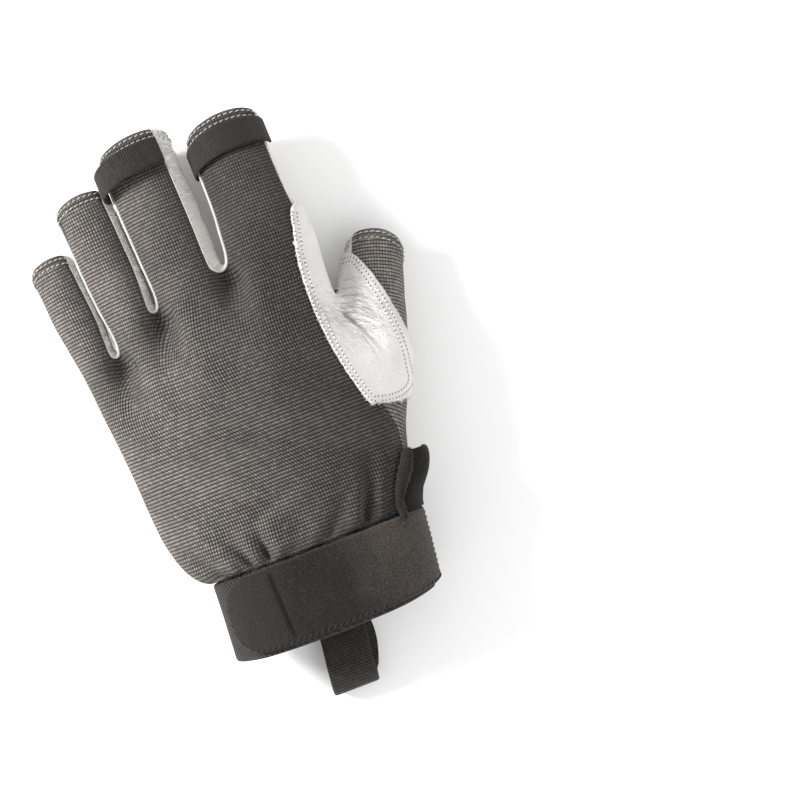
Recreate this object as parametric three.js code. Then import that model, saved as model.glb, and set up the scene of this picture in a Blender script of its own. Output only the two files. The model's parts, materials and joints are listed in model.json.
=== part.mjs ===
// Half-finger climbing glove for the left hand, lying palm down in the form that it keeps.
// +Y points to the fingertips, +X to the thumb side and +Z up, off the back of the hand.
// The origin is under the middle of the glove, on the surface that it rests on. Millimetres.
// A cage of named sections gives the outside of the glove. Each panel is a share of that
// cage, thickened inwards by its own wall, so all the hollows stay open.
import * as THREE from "three";

// Driving dimensions
const HAND_LENGTH = 100; // cuff seam to the crotch between the ring and middle fingers
const HAND_WIDTH = 92; // across the knuckles, outside
const HAND_DEPTH = 30; // back to palm at the middle of the hand
const FABRIC_WALL = 1.4;
const LEATHER_WALL = 1.3;
const SEAM_GAP = 0.32; // between any two pieces
const CUFF_LENGTH = 28;
const CUFF_WIDTH = 74;
const CUFF_DEPTH = 38;
const CUFF_WALL = 2;
const CUFF_PITCH = 9; // degrees by which the open end of the cuff leans
const STRAP_WIDTH = 27.5;
const STRAP_WALL = 1.8;
const STRAP_CORNER = 9; // radius at its free end
const TAB_WIDTH = 9.5; // webbing of the finger pull tabs
const TAB_WALL = 1.1;
const TAB_INSET = 3.4; // from the finger's open end
const LOOP_WIDTH = 17; // webbing of the wrist loop
const LOOP_WALL = 1.3;
const LOOP_REACH = 26.5; // beyond the cuff
const LOOP_HOLLOW = 7.5; // clear height inside the loop
const LOOP_PLACE = 0.027; // share of the cuff's width from the middle, to the thumb side
const PATCH_WALL = 1.1;
const BINDING_RADIUS = 1.5;
const GUSSET_WALL = 1.2;
const GUSSET_PUFF = 2.4; // how far its fold stands off the hand
const GATHER_DEPTH = 0.8; // of the folds above the cuff
const HEM_SLANT = 6; // degrees by which the back of a finger's end stands forward
const THUMB_HEM_SLANT = 24;

// Each finger from its crotch, in shares of the hand: widths and x places of its width,
// lengths and crotch lines of its length, depth and heights of its depth. Seam columns are
// angles round the finger, 0 at the thumb side and 90 at the back: where the back fabric
// ends and where the palm leather begins.
const FINGERS = [
  {
    name: "little", baseWidth: 0.15, width: 0.18, depth: 0.533, length: 0.38,
    baseX: -0.481, tipX: -0.528, crotchUlnar: 0.83, crotchRadial: 0.878,
    baseHeight: 0.53, tipHeight: 0.235, roll: 7,
    backUlnar: 178, backRadial: 34, palmRadial: -38, palmUlnar: -166,
  },
  {
    name: "ring", baseWidth: 0.184, width: 0.22, depth: 0.6, length: 0.47,
    baseX: -0.293, tipX: -0.336, crotchUlnar: 0.878, crotchRadial: 0.982,
    baseHeight: 0.62, tipHeight: 0.27, roll: 8,
    backUlnar: 166, backRadial: 34, palmRadial: -40, palmUlnar: -160,
  },
  {
    name: "middle", baseWidth: 0.2825, width: 0.2935, depth: 0.633, length: 0.52,
    baseX: -0.043, tipX: -0.073, crotchUlnar: 0.982, crotchRadial: 1.029,
    baseHeight: 0.72, tipHeight: 0.325, roll: 10,
    backUlnar: 166, backRadial: 42, palmRadial: -40, palmUlnar: -160,
  },
  {
    name: "index", baseWidth: 0.337, width: 0.2955, depth: 0.633, length: 0.47,
    baseX: 0.281, tipX: 0.27, crotchUlnar: 1.029, crotchRadial: 0.985,
    baseHeight: 0.86, tipHeight: 0.37, roll: 9,
    backUlnar: 166, backRadial: 8, palmRadial: -40, palmUlnar: -160,
  },
];
const FINGER_STATIONS = [0, 0.1, 0.24, 0.4, 0.58, 0.75, 0.9, 1];

// The thumb as shares of the hand's width, length and depth
const THUMB = {
  width: 0.222, depth: 0.653, rootWidth: 0.435, rootDepth: 1,
  rootX: 0.413, rootY: 0.4, rootHeight: 0.78,
  tipX: 0.652, tipY: 0.895, tipHeight: 0.26,
};
const THUMB_STATIONS = [0, 0.1, 0.22, 0.35, 0.49, 0.63, 0.77, 0.9, 1];

// Sections of the hand, from the cuff to the knuckles. along is a share of the length;
// ulnar and radial of the width; lift, crown and belly of the depth. Angles in degrees:
// roll of the section, and the seams of the thumb's fabric panel round it.
const HAND_SECTIONS = [
  { along: 0.05, ulnar: -0.45, radial: 0.462, lift: 0.62, crown: 0.6, belly: 0.64,
    roll: 2, backSeam: 24, palmSeam: -58, hollow: 0.0 },
  { along: 0.17, ulnar: -0.484, radial: 0.53, lift: 0.62, crown: 0.62, belly: 0.64,
    roll: 4, backSeam: 23, palmSeam: -44, hollow: 0.03 },
  { along: 0.3, ulnar: -0.505, radial: 0.57, lift: 0.66, crown: 0.61, belly: 0.61,
    roll: 6, backSeam: 27, palmSeam: -38, hollow: 0.09 },
  { along: 0.5, ulnar: -0.515, radial: 0.54, lift: 0.71, crown: 0.56, belly: 0.54,
    roll: 8, backSeam: 34, palmSeam: -40, hollow: 0.14 },
  { along: 0.68, ulnar: -0.525, radial: 0.48, lift: 0.74, crown: 0.5, belly: 0.47,
    roll: 8, backSeam: 32, palmSeam: -40, hollow: 0.1 },
  { along: 0.84, ulnar: -0.545, radial: 0.46, lift: 0.75, crown: 0.43, belly: 0.41,
    roll: 8, backSeam: 20, palmSeam: -40, hollow: 0.03 },
  { along: 1, ulnar: -0.56, radial: 0.45, lift: 0.74, crown: 0.38, belly: 0.36,
    roll: 8, backSeam: 8, palmSeam: -40, hollow: 0 },
];
const HAND_STATIONS = [0, 0.03, 0.08, 0.16, 0.25, 0.35, 0.45, 0.55, 0.66, 0.77, 0.86, 0.93, 1];
const THUMB_FROM = 4; // hand stations between which the thumb leaves the hand
const THUMB_TO = 9;
const KNUCKLE_BLEND = 0.7; // share of the length where the finger forms begin to show
const ULNAR_BACK = 178; // seam angles on the little finger side
const ULNAR_PALM = -166;
const SQUARENESS = 0.86; // below 1 the hand's section is boxier than an ellipse

// The outline of the reinforcing patch between index finger and thumb, seen from the back
// and from the palm: across is a share of the hand's width, along of its length.
const PATCH_BACK = [
  { across: 0.425, along: 1.135 }, { across: 0.4, along: 1.06 },
  { across: 0.368, along: 0.93 }, { across: 0.35, along: 0.8 },
  { across: 0.363, along: 0.63 }, { across: 0.405, along: 0.48 },
  { across: 0.45, along: 0.395 }, { across: 0.51, along: 0.37 },
  { across: 0.575, along: 0.385 }, { across: 0.612, along: 0.44 },
  { across: 0.628, along: 0.52 }, { across: 0.632, along: 0.62 },
  { across: 0.624, along: 0.72 }, { across: 0.603, along: 0.82 },
  { across: 0.578, along: 0.885 }, { across: 0.555, along: 0.905 },
  { across: 0.5, along: 0.93 }, { across: 0.47, along: 1.135 },
];
const PATCH_PALM = [
  { across: 0.48, along: 1.138 }, { across: 0.32, along: 1.114, corner: true },
  { across: 0.17, along: 0.66, corner: true }, { across: 0.375, along: 0.575, corner: true },
  { across: 0.44, along: 0.645 }, { across: 0.5, along: 0.68 },
  { across: 0.53, along: 0.9 },
];

// Segments of the cage
const TOP = 6; // across the back of a finger, and across its palm side
const SIDE = 3; // down the side of a finger
const WEB = 2; // across a crotch
const RADIAL = 4; // down the thumb side of the hand
const WEB_SAG = 0.8; // how far the middle of a crotch lies below its edges

const degrees = THREE.MathUtils.degToRad;
const lerp = THREE.MathUtils.lerp;
const ease = (value, from, to) => THREE.MathUtils.smoothstep(value, from, to);
const power = (value, exponent) => Math.sign(value) * Math.abs(value) ** exponent;

// A value of a table's column at a place between its rows, on a smooth curve
function column(rows, key, place, name) {
  const last = rows.length - 1;
  const found = rows.findIndex((row) => row[place.key] > place.at);
  const upper = found < 0 ? last : Math.max(found, 1);
  const rowAt = (i) => rows[Math.min(Math.max(i, 0), last)];
  const [before, from, to, after] = [-2, -1, 0, 1].map((i) => rowAt(upper + i));
  const span = to[place.key] - from[place.key];
  const t = Math.min(Math.max((place.at - from[place.key]) / span, 0), 1);
  const slope = (a, b) => (b[place.key] === a[place.key]
    ? 0
    : ((b[key] - a[key]) / (b[place.key] - a[place.key])) * span);
  const [m0, m1] = [slope(before, to), slope(from, after)];
  return (2 * t ** 3 - 3 * t ** 2 + 1) * from[key] + (t ** 3 - 2 * t ** 2 + t) * m0
    + (-2 * t ** 3 + 3 * t ** 2) * to[key] + (t ** 3 - t ** 2) * m1;
}

// The cuff, from its seam to its open end. share 0 is the seam. out is a distance from
// the outside of the cuff, positive outwards.
const CUFF_SECTIONS = [
  { share: 0, middle: 0.045, width: 1.03, lift: 0.49, depth: 0.98 },
  { share: 0.35, middle: 0.035, width: 1.02, lift: 0.485, depth: 0.99 },
  { share: 1, middle: 0.01, width: 1, lift: 0.47, depth: 0.97 },
];
function cuffPoint(share, angle, out = 0) {
  const at = (key) => column(CUFF_SECTIONS, key, { key: "share", at: share });
  const a = (at("width") * CUFF_WIDTH) / 2 + out;
  const b = (at("depth") * CUFF_DEPTH) / 2 + out;
  const rise = b * power(Math.sin(degrees(angle)), SQUARENESS);
  return new THREE.Vector3(
    at("middle") * CUFF_WIDTH + a * power(Math.cos(degrees(angle)), SQUARENESS),
    -share * (CUFF_LENGTH + rise * Math.tan(degrees(CUFF_PITCH))),
    at("lift") * CUFF_DEPTH + rise,
  );
}

// Gathers run up the back from the cuff, so many round the whole section, and fade out
const GATHER_FOLDS = 11;
const GATHER_REACH = 0.28; // share of the hand's length
// A point of the hand's own section. share runs from the cuff to the knuckles.
function handPoint(share, angle) {
  const at = (key) => column(HAND_SECTIONS, key, { key: "along", at: share });
  const [ulnar, radial] = [at("ulnar") * HAND_WIDTH, at("radial") * HAND_WIDTH];
  const half = (radial - ulnar) / 2;
  const across = half * power(Math.cos(degrees(angle)), SQUARENESS);
  const sine = power(Math.sin(degrees(angle)), SQUARENESS);
  const dish = at("hollow") * Math.max(0, 1 - (across / half) ** 2 * 1.6);
  const gather = GATHER_DEPTH * ease(GATHER_REACH - share, 0, GATHER_REACH)
    * Math.cos(degrees(angle * GATHER_FOLDS)) * Math.max(0, sine) ** 0.5;
  const rise = gather
    + HAND_DEPTH * (sine > 0 ? at("crown") * sine : at("belly") * sine + dish);
  const roll = degrees(at("roll"));
  const point = new THREE.Vector3(
    (ulnar + radial) / 2 + across * Math.cos(roll) - rise * Math.sin(roll),
    share * HAND_LENGTH,
    at("lift") * HAND_DEPTH + rise * Math.cos(roll) + across * Math.sin(roll),
  );
  const wrist = cuffPoint(0, angle);
  const blend = ease(share, 0, HAND_SECTIONS[0].along);
  return new THREE.Vector3().lerpVectors(wrist, point, blend).setY(point.y);
}

// A point round a tube: centre, heading and dive of its axis, and its half sizes
function tubePoint({ centre, heading, dive, roll, a, b, slant }, angle) {
  const [h, d, r] = [heading, dive, roll].map(degrees);
  const axis = new THREE.Vector3(Math.sin(h) * Math.cos(d), Math.cos(h) * Math.cos(d), -Math.sin(d));
  const across = new THREE.Vector3(Math.cos(h), -Math.sin(h), 0);
  const up = new THREE.Vector3(Math.sin(h) * Math.sin(d), Math.cos(h) * Math.sin(d), Math.cos(d));
  const [c, s] = [Math.cos(degrees(angle)), Math.sin(degrees(angle))];
  const [x, z] = [a * c * Math.cos(r) - b * s * Math.sin(r), a * c * Math.sin(r) + b * s * Math.cos(r)];
  return centre.clone()
    .addScaledVector(across, x)
    .addScaledVector(up, z)
    .addScaledVector(axis, z * Math.tan(degrees(slant)));
}

// A point of a finger. share 0 is at its crotches and 1 at its open end.
const CURL = 1.5; // the finger's line drops as this power of the share
function fingerPoint(finger, share, angle, out = 0) {
  const drop = (finger.baseHeight - finger.tipHeight) * HAND_DEPTH;
  const base = ((finger.crotchUlnar + finger.crotchRadial) / 2) * HAND_LENGTH;
  const lean = (finger.tipX - finger.baseX) * HAND_WIDTH;
  const length = finger.length * HAND_LENGTH;
  const centre = new THREE.Vector3(
    finger.baseX * HAND_WIDTH + lean * share,
    base + length * share,
    finger.baseHeight * HAND_DEPTH - drop * share ** CURL,
  );
  const slope = (drop * CURL * share ** (CURL - 1)) / length;
  const swell = ease(share, 0, 0.45);
  const point = tubePoint({
    centre,
    heading: THREE.MathUtils.radToDeg(Math.atan2(lean, length)) * share,
    dive: THREE.MathUtils.radToDeg(Math.atan(slope)) * share,
    roll: finger.roll,
    a: (lerp(finger.baseWidth, finger.width, swell) * HAND_WIDTH) / 2 + out,
    b: (finger.depth / 2 + (1 - swell) * 0.06) * HAND_DEPTH + out,
    slant: HEM_SLANT * share,
  }, angle);
  const step = ((finger.crotchRadial - finger.crotchUlnar) * HAND_LENGTH) / 2;
  point.y += step * Math.cos(degrees(angle)) * (1 - ease(share, 0, 0.5));
  return point;
}

const THUMB_FROM_ROOT = new THREE.Vector3(THUMB.rootX * HAND_WIDTH, THUMB.rootY * HAND_LENGTH,
  THUMB.rootHeight * HAND_DEPTH);
const THUMB_TO_TIP = new THREE.Vector3(THUMB.tipX * HAND_WIDTH, THUMB.tipY * HAND_LENGTH,
  THUMB.tipHeight * HAND_DEPTH);
function thumbPoint(share, angle, out = 0) {
  const from = THUMB_FROM_ROOT;
  const way = THUMB_TO_TIP.clone().sub(from);
  const taper = share * (1.65 - 0.65 * share);
  return tubePoint({
    centre: from.clone().addScaledVector(way, share),
    heading: THREE.MathUtils.radToDeg(Math.atan2(way.x, way.y)),
    dive: THREE.MathUtils.radToDeg(Math.atan2(-way.z, Math.hypot(way.x, way.y))),
    roll: 0,
    a: (lerp(THUMB.rootWidth, THUMB.width, taper) * HAND_WIDTH) / 2 + out,
    b: (lerp(THUMB.rootDepth, THUMB.depth, taper) * HAND_DEPTH) / 2 + out,
    slant: THUMB_HEM_SLANT * share ** 3,
  }, angle);
}

// The cage: one list of outside points and one of faces, each with the panel it belongs to
const points = [];
const faces = [];
const add = (point) => points.push(point) - 1;
const face = (panel, a, b, c, d) => faces.push({ panel, corners: [a, b, c, d] });
const spread = (from, to, count) => Array.from({ length: count + 1 }, (_, i) => lerp(from, to, i / count));

// The places round the hand, in order: across the back to the thumb side, down, across the
// palm and up. Each knows its finger, or the two beside it, and its angle on that finger.
const places = [];
FINGERS.forEach((finger, k) => {
  spread(finger.backUlnar, finger.backRadial, TOP)
    .forEach((angle) => places.push({ zone: "back", fingers: [k], angles: [angle] }));
  const next = FINGERS[k + 1];
  for (let w = 1; next && w < WEB; w += 1) {
    places.push({ zone: "back", fingers: [k, k + 1], mix: w / WEB,
      angles: [finger.backRadial, next.backUlnar] });
  }
});
const index = FINGERS.length - 1;
spread(FINGERS[index].backRadial, FINGERS[index].palmRadial, RADIAL).slice(1, -1)
  .forEach((angle) => places.push({ zone: "radial", fingers: [index], angles: [angle] }));
[...FINGERS].reverse().forEach((finger, reversed) => {
  const k = index - reversed;
  spread(finger.palmRadial, finger.palmUlnar, TOP)
    .forEach((angle) => places.push({ zone: "palm", fingers: [k], angles: [angle] }));
  const next = FINGERS[k - 1];
  for (let w = 1; next && w < WEB; w += 1) {
    places.push({ zone: "palm", fingers: [k, k - 1], mix: w / WEB,
      angles: [finger.palmUlnar, next.palmRadial] });
  }
});
spread(FINGERS[0].palmUlnar, FINGERS[0].backUlnar - 360, SIDE).slice(1, -1)
  .forEach((angle) => places.push({ zone: "ulnar", fingers: [0], angles: [angle] }));

// Where a place stands at the knuckles, on its finger or between two
function knucklePoint(place) {
  const ends = place.fingers.map((k, i) => fingerPoint(FINGERS[k], 0, place.angles[i]));
  if (ends.length === 1) {
    return ends[0];
  }
  const point = ends[0].clone().lerp(ends[1], place.mix);
  point.y -= WEB_SAG;
  return point;
}

// Each place's angle on the hand: even between the seams at the wrist, and by the width
// of the fingers at the knuckles
const zoneOf = (zone) => places.filter((place) => place.zone === zone);
const knuckles = places.map(knucklePoint);
places.forEach((place, i) => { place.knuckle = knuckles[i]; });
function handAngle(place, share) {
  const at = (key) => column(HAND_SECTIONS, key, { key: "along", at: share });
  const bounds = {
    back: [ULNAR_BACK, at("backSeam")],
    radial: [at("backSeam"), at("palmSeam")],
    palm: [at("palmSeam"), ULNAR_PALM],
    ulnar: [ULNAR_PALM, ULNAR_BACK - 360],
  }[place.zone];
  const row = zoneOf(place.zone);
  const order = row.indexOf(place);
  if (place.zone === "radial" || place.zone === "ulnar") {
    return lerp(...bounds, (order + 1) / (row.length + 1));
  }
  const even = order / (row.length - 1);
  const [first, last] = [row[0].knuckle.x, row[row.length - 1].knuckle.x];
  const across = (2 * (place.knuckle.x - first)) / (last - first) - 1;
  const matched = Math.acos(THREE.MathUtils.clamp(-across, -1, 1)) / Math.PI;
  return lerp(...bounds, lerp(even, matched, ease(share, 0.1, 1)));
}

const handRings = HAND_STATIONS.map((share) => places.map((place) => {
  const hand = handPoint(share, handAngle(place, share));
  const blend = ease(share, KNUCKLE_BLEND, 1);
  const point = hand.clone().lerp(place.knuckle, blend);
  point.y = share * place.knuckle.y;
  return add(point);
}));
const lastRing = handRings[handRings.length - 1];
const inThumb = (station) => station >= THUMB_FROM && station < THUMB_TO;
const zoneAfter = (i) => {
  const [zone, next] = [places[i].zone, places[(i + 1) % places.length].zone];
  return zone === next ? zone : [zone, next].find((z) => z === "radial" || z === "ulnar");
};
const RADIAL_FROM = places.findIndex((place) => place.zone === "radial") - 1;
const handPanel = (station, i) => ({
  back: "back_panel",
  palm: "palm_panel",
  ulnar: "palm_panel",
  radial: station < THUMB_FROM ? "thumb_panel" : "palm_panel",
})[zoneAfter(i)];
for (let s = 0; s < HAND_STATIONS.length - 1; s += 1) {
  places.forEach((place, i) => {
    const j = (i + 1) % places.length;
    if (!(inThumb(s) && zoneAfter(i) === "radial")) {
      face(handPanel(s, i), handRings[s][i], handRings[s][j], handRings[s + 1][j], handRings[s + 1][i]);
    }
  });
}

// A finger's ring of cage points: back, thumb side, palm and little-finger side
const sideCount = (k) => [k === index ? RADIAL : SIDE, SIDE];
function fingerAngles(finger, k) {
  const [radial, ulnar] = sideCount(k);
  return [
    spread(finger.backUlnar, finger.backRadial, TOP),
    spread(finger.backRadial, finger.palmRadial, radial).slice(1, -1),
    spread(finger.palmRadial, finger.palmUlnar, TOP),
    spread(finger.palmUlnar, finger.backUlnar - 360, ulnar).slice(1, -1),
  ];
}
const fingerRings = FINGERS.map((finger, k) => FINGER_STATIONS.map((share) => {
  const [back, radial, palm, ulnar] = fingerAngles(finger, k);
  const shared = (zone) => places
    .map((place, i) => ({ place, id: lastRing[i] }))
    .filter(({ place }) => place.zone === zone && place.fingers.length === 1 && place.fingers[0] === k)
    .map(({ id }) => id);
  const fresh = (angles) => angles.map((angle) => add(fingerPoint(finger, share, angle)));
  if (share > 0) {
    return { back: fresh(back), radial: fresh(radial), palm: fresh(palm), ulnar: fresh(ulnar) };
  }
  return {
    back: shared("back"),
    radial: k === index ? shared("radial") : fresh(radial),
    palm: shared("palm"),
    ulnar: k === 0 ? shared("ulnar") : fresh(ulnar),
  };
}));
const ringOrder = (ring) => [...ring.back, ...ring.radial, ...ring.palm, ...ring.ulnar];
const crotchName = (k) => `sidewall_${FINGERS[k].name}_${FINGERS[k + 1].name}`;
FINGERS.forEach((finger, k) => {
  const [radialCount] = sideCount(k);
  for (let s = 0; s < FINGER_STATIONS.length - 1; s += 1) {
    const [near, far] = [ringOrder(fingerRings[k][s]), ringOrder(fingerRings[k][s + 1])];
    near.forEach((id, i) => {
      const j = (i + 1) % near.length;
      const inBack = i < TOP;
      const inRadial = !inBack && i < TOP + radialCount;
      const inPalm = !inBack && !inRadial && i < 2 * TOP + radialCount;
      const radialPanel = k === index ? "palm_panel" : crotchName(k);
      const ulnarPanel = k === 0 ? "palm_panel" : crotchName(k - 1);
      const sidePanel = inRadial ? radialPanel : ulnarPanel;
      const panel = inBack ? "back_panel" : inPalm ? "palm_panel" : sidePanel;
      face(panel, near[i], near[j], far[j], far[i]);
    });
  }
});

// The crotch between two fingers, a saddle from the back edge to the palm edge
const webIds = (zone, pair) => places
  .map((place, i) => ({ place, id: lastRing[i] }))
  .filter(({ place }) => place.zone === zone && place.fingers.length === 2
    && place.fingers.every((k) => pair.includes(k)))
  .map(({ id }) => id);
for (let k = 0; k < index; k += 1) {
  const [left, right] = [fingerRings[k][0], fingerRings[k + 1][0]];
  const leftColumn = [left.back[TOP], ...left.radial, left.palm[0]];
  const rightColumn = [right.back[0], ...[...right.ulnar].reverse(), right.palm[TOP]];
  const topRow = webIds("back", [k, k + 1]);
  const bottomRow = webIds("palm", [k, k + 1]).reverse();
  const grid = leftColumn.map((leftId, r) => {
    const inner = spread(0, 1, WEB).slice(1, -1).map((mix, w) => {
      if (r === 0) {
        return topRow[w];
      }
      if (r === SIDE) {
        return bottomRow[w];
      }
      const point = points[leftId].clone().lerp(points[rightColumn[r]], mix);
      point.y -= 1.6 * WEB_SAG;
      return add(point);
    });
    return [leftId, ...inner, rightColumn[r]];
  });
  for (let r = 0; r < SIDE; r += 1) {
    for (let w = 0; w < WEB; w += 1) {
      face(crotchName(k), grid[r][w], grid[r][w + 1], grid[r + 1][w + 1], grid[r + 1][w]);
    }
  }
}

// The thumb leaves through the hole in the thumb side of the hand
const holeColumn = (i) => Array.from({ length: THUMB_TO - THUMB_FROM + 1 }, (_, s) => handRings[THUMB_FROM + s][i]);
const holeRow = (station) => handRings[station].slice(RADIAL_FROM, RADIAL_FROM + RADIAL + 1);
const hole = [
  ...holeColumn(RADIAL_FROM).reverse().slice(0, -1),
  ...holeRow(THUMB_FROM).slice(0, -1),
  ...holeColumn(RADIAL_FROM + RADIAL).slice(0, -1),
  ...holeRow(THUMB_TO).reverse().slice(0, -1),
];
const THUMB_BACK = THUMB_TO - THUMB_FROM; // cage segments across the back of the thumb
const THUMB_STEP = 360 / hole.length;
const thumbAngle = (i) => 90 + THUMB_STEP * (THUMB_BACK / 2 - i);
const THUMB_BLEND = 0.5; // share of the thumb where the hand's form has faded out
// How far along the thumb a point of the hole's edge already is
function thumbStart(point) {
  const way = THUMB_TO_TIP.clone().sub(THUMB_FROM_ROOT);
  const along = point.clone().sub(THUMB_FROM_ROOT).dot(way) / way.lengthSq();
  return THREE.MathUtils.clamp(along, -0.2, 0.7);
}
const thumbRings = THUMB_STATIONS.map((share) => hole.map((id, i) => {
  if (share === 0) {
    return id;
  }
  const blend = ease(share, 0, THUMB_BLEND);
  const along = lerp(thumbStart(points[id]), 1, share);
  return add(points[id].clone().lerp(thumbPoint(along, thumbAngle(i)), blend));
}));
for (let s = 0; s < THUMB_STATIONS.length - 1; s += 1) {
  hole.forEach((id, i) => {
    const j = (i + 1) % hole.length;
    const panel = i < THUMB_BACK + RADIAL ? "thumb_panel" : "palm_panel";
    face(panel, thumbRings[s][i], thumbRings[s][j], thumbRings[s + 1][j], thumbRings[s + 1][i]);
  });
}

// Evens out the cage where forms meet: each named point moves towards its neighbours' middle
const neighbours = points.map(() => new Set());
faces.forEach(({ corners }) => corners.forEach((id, i) => {
  neighbours[id].add(corners[(i + 1) % 4]);
  neighbours[id].add(corners[(i + 3) % 4]);
}));
function relax(ids, times) {
  for (let round = 0; round < times; round += 1) {
    const moved = ids.map((id) => {
      const middle = [...neighbours[id]].reduce((sum, n) => sum.add(points[n]), new THREE.Vector3());
      return points[id].clone().lerp(middle.divideScalar(neighbours[id].size), 0.5);
    });
    ids.forEach((id, i) => points[id].copy(moved[i]));
  }
}
function around(ids, steps) {
  const found = new Set(ids);
  for (let step = 0; step < steps; step += 1) {
    [...found].forEach((id) => neighbours[id].forEach((n) => found.add(n)));
  }
  return [...found];
}
const THUMB_RINGS_RELAXED = 4;
relax(around(hole, 2).filter((id) => !handRings[0].includes(id)), 5);
relax([...new Set(thumbRings.slice(0, THUMB_RINGS_RELAXED).flat())], 7);
relax(around(handRings[HAND_STATIONS.length - 3], 2).filter((id) => !lastRing.includes(id)), 3);
relax(around(lastRing, 1), 1);

// What would lie under the surface is flattened on it
points.forEach((point) => point.setZ(Math.max(point.z, 0)));

// Normals of the whole cage, so that neighbouring panels have the same inside edge
const normals = points.map(() => new THREE.Vector3());
faces.forEach(({ corners: [a, b, c, d] }) => {
  const one = points[c].clone().sub(points[a]);
  const two = points[d].clone().sub(points[b]);
  const normal = one.cross(two);
  [a, b, c, d].forEach((id) => normals[id].add(normal));
});
normals.forEach((normal) => normal.normalize());

// One closed solid from two sheets of points with the same faces: outside and inside
function shellGeometry(outside, inside, quads) {
  const ids = [...new Set(quads.flat())];
  const order = new Map(ids.map((id, i) => [id, i]));
  const position = [...ids.map(outside), ...ids.map(inside)].flatMap((p) => [p.x, p.y, p.z]);
  const indices = [];
  const edges = new Map();
  const fan = (corners) => corners.slice(2)
    .forEach((corner, i) => indices.push(corners[0], corners[i + 1], corner));
  const quad = (...corners) => fan(corners);
  quads.forEach((face) => {
    const corners = face.map((id) => order.get(id));
    fan(corners);
    fan([...corners].reverse().map((corner) => corner + ids.length));
    corners.forEach((from, i) => {
      const to = corners[(i + 1) % corners.length];
      if (!edges.delete(`${to} ${from}`)) {
        edges.set(`${from} ${to}`, [from, to]);
      }
    });
  });
  edges.forEach(([from, to]) => quad(to, from, from + ids.length, to + ids.length));
  const geometry = new THREE.BufferGeometry();
  geometry.setAttribute("position", new THREE.Float32BufferAttribute(position, 3));
  geometry.setIndex(indices);
  return geometry;
}

// How far each point of a panel moves from its seams, so that the panels keep their gap
function seamShifts(panel, quads) {
  const mine = new Set(quads.flat());
  const others = new Set(faces.filter((f) => f.panel !== panel).flatMap((f) => f.corners));
  const sums = new Map([...mine].map((id) => [id, new THREE.Vector3()]));
  const along = new Map();
  const edges = new Map();
  quads.forEach((corners) => {
    const middle = corners.reduce((sum, id) => sum.add(points[id]), new THREE.Vector3()).divideScalar(4);
    corners.forEach((id, i) => {
      sums.get(id).add(middle.clone().sub(points[id]));
      const next = corners[(i + 1) % 4];
      if (!edges.delete(`${next} ${id}`)) {
        edges.set(`${id} ${next}`, [id, next]);
      }
    });
  });
  edges.forEach(([from, to]) => {
    const way = points[to].clone().sub(points[from]).normalize();
    [from, to].forEach((id) => along.set(id, (along.get(id) ?? new THREE.Vector3()).add(way)));
  });
  return (id) => {
    if (!others.has(id) || !along.has(id)) {
      return new THREE.Vector3();
    }
    const tangent = along.get(id).clone().normalize();
    const inward = sums.get(id).clone();
    inward.addScaledVector(tangent, -inward.dot(tangent));
    inward.addScaledVector(normals[id], -inward.dot(normals[id]));
    return inward.setLength(SEAM_GAP / 2 + 0.02);
  };
}

const floored = (point, least) => point.setZ(Math.max(point.z, least));
const WALLS = { back_panel: FABRIC_WALL, thumb_panel: FABRIC_WALL };
function panelGeometry(panel) {
  const quads = faces.filter((f) => f.panel === panel).map((f) => f.corners);
  const wall = WALLS[panel] ?? LEATHER_WALL;
  const shift = seamShifts(panel, quads);
  return shellGeometry(
    (id) => floored(points[id].clone().add(shift(id)), 0),
    (id) => floored(points[id].clone().add(shift(id)).addScaledVector(normals[id], -wall), wall),
    quads,
  );
}

// Grids: the faces of a sheet of rows and columns, open or closed round
const gridQuads = (rows, columns, round = false) => {
  const quads = [];
  const wide = round ? columns : columns + 1;
  for (let r = 0; r < rows; r += 1) {
    for (let c = 0; c < columns; c += 1) {
      const d = (c + 1) % wide;
      quads.push([r * wide + c, r * wide + d, (r + 1) * wide + d, (r + 1) * wide + c]);
    }
  }
  return quads;
};

const CUFF_REST = LOOP_WALL + SEAM_GAP; // the cuff lies on the webbing of its loop
const CUFF_ROWS = 5;
const CUFF_COLUMNS = 40;
function cuffGeometry() {
  const place = (id) => [Math.floor(id / CUFF_COLUMNS) / CUFF_ROWS, (id % CUFF_COLUMNS) / CUFF_COLUMNS];
  const at = (id, out, least) => {
    const [v, u] = place(id);
    const share = 1 - v;
    const point = cuffPoint(share, 180 - 360 * u, out);
    point.y -= SEAM_GAP * v;
    return floored(point, least);
  };
  return shellGeometry((id) => at(id, 0, CUFF_REST), (id) => at(id, -CUFF_WALL, CUFF_REST + CUFF_WALL),
    gridQuads(CUFF_ROWS, CUFF_COLUMNS, true));
}

// The strap lies over the back of the cuff, with round corners at its free end
const STRAP_FROM = 163; // its free end, in degrees round the cuff
const STRAP_TO = -16;
const STRAP_ROWS = 6;
const STRAP_COLUMNS = 26;
const STRAP_TOP = 0.05; // share of the cuff's length above it
function strapPoint(id, out) {
  const wide = STRAP_COLUMNS + 1;
  const u = (id % wide) / STRAP_COLUMNS;
  const v = 1 - Math.floor(id / wide) / STRAP_ROWS;
  const angle = lerp(STRAP_FROM, STRAP_TO, u ** 1.35);
  const end = cuffPoint(0.5, STRAP_FROM);
  const fromEnd = Math.min(cuffPoint(0.5, angle).distanceTo(end), STRAP_CORNER);
  const cut = STRAP_CORNER - Math.sqrt(STRAP_CORNER ** 2 - (STRAP_CORNER - fromEnd) ** 2);
  const narrow = cut / STRAP_WIDTH;
  const share = STRAP_TOP + (STRAP_WIDTH / CUFF_LENGTH) * lerp(narrow, 1 - narrow, v);
  return cuffPoint(share, angle, out);
}
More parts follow.
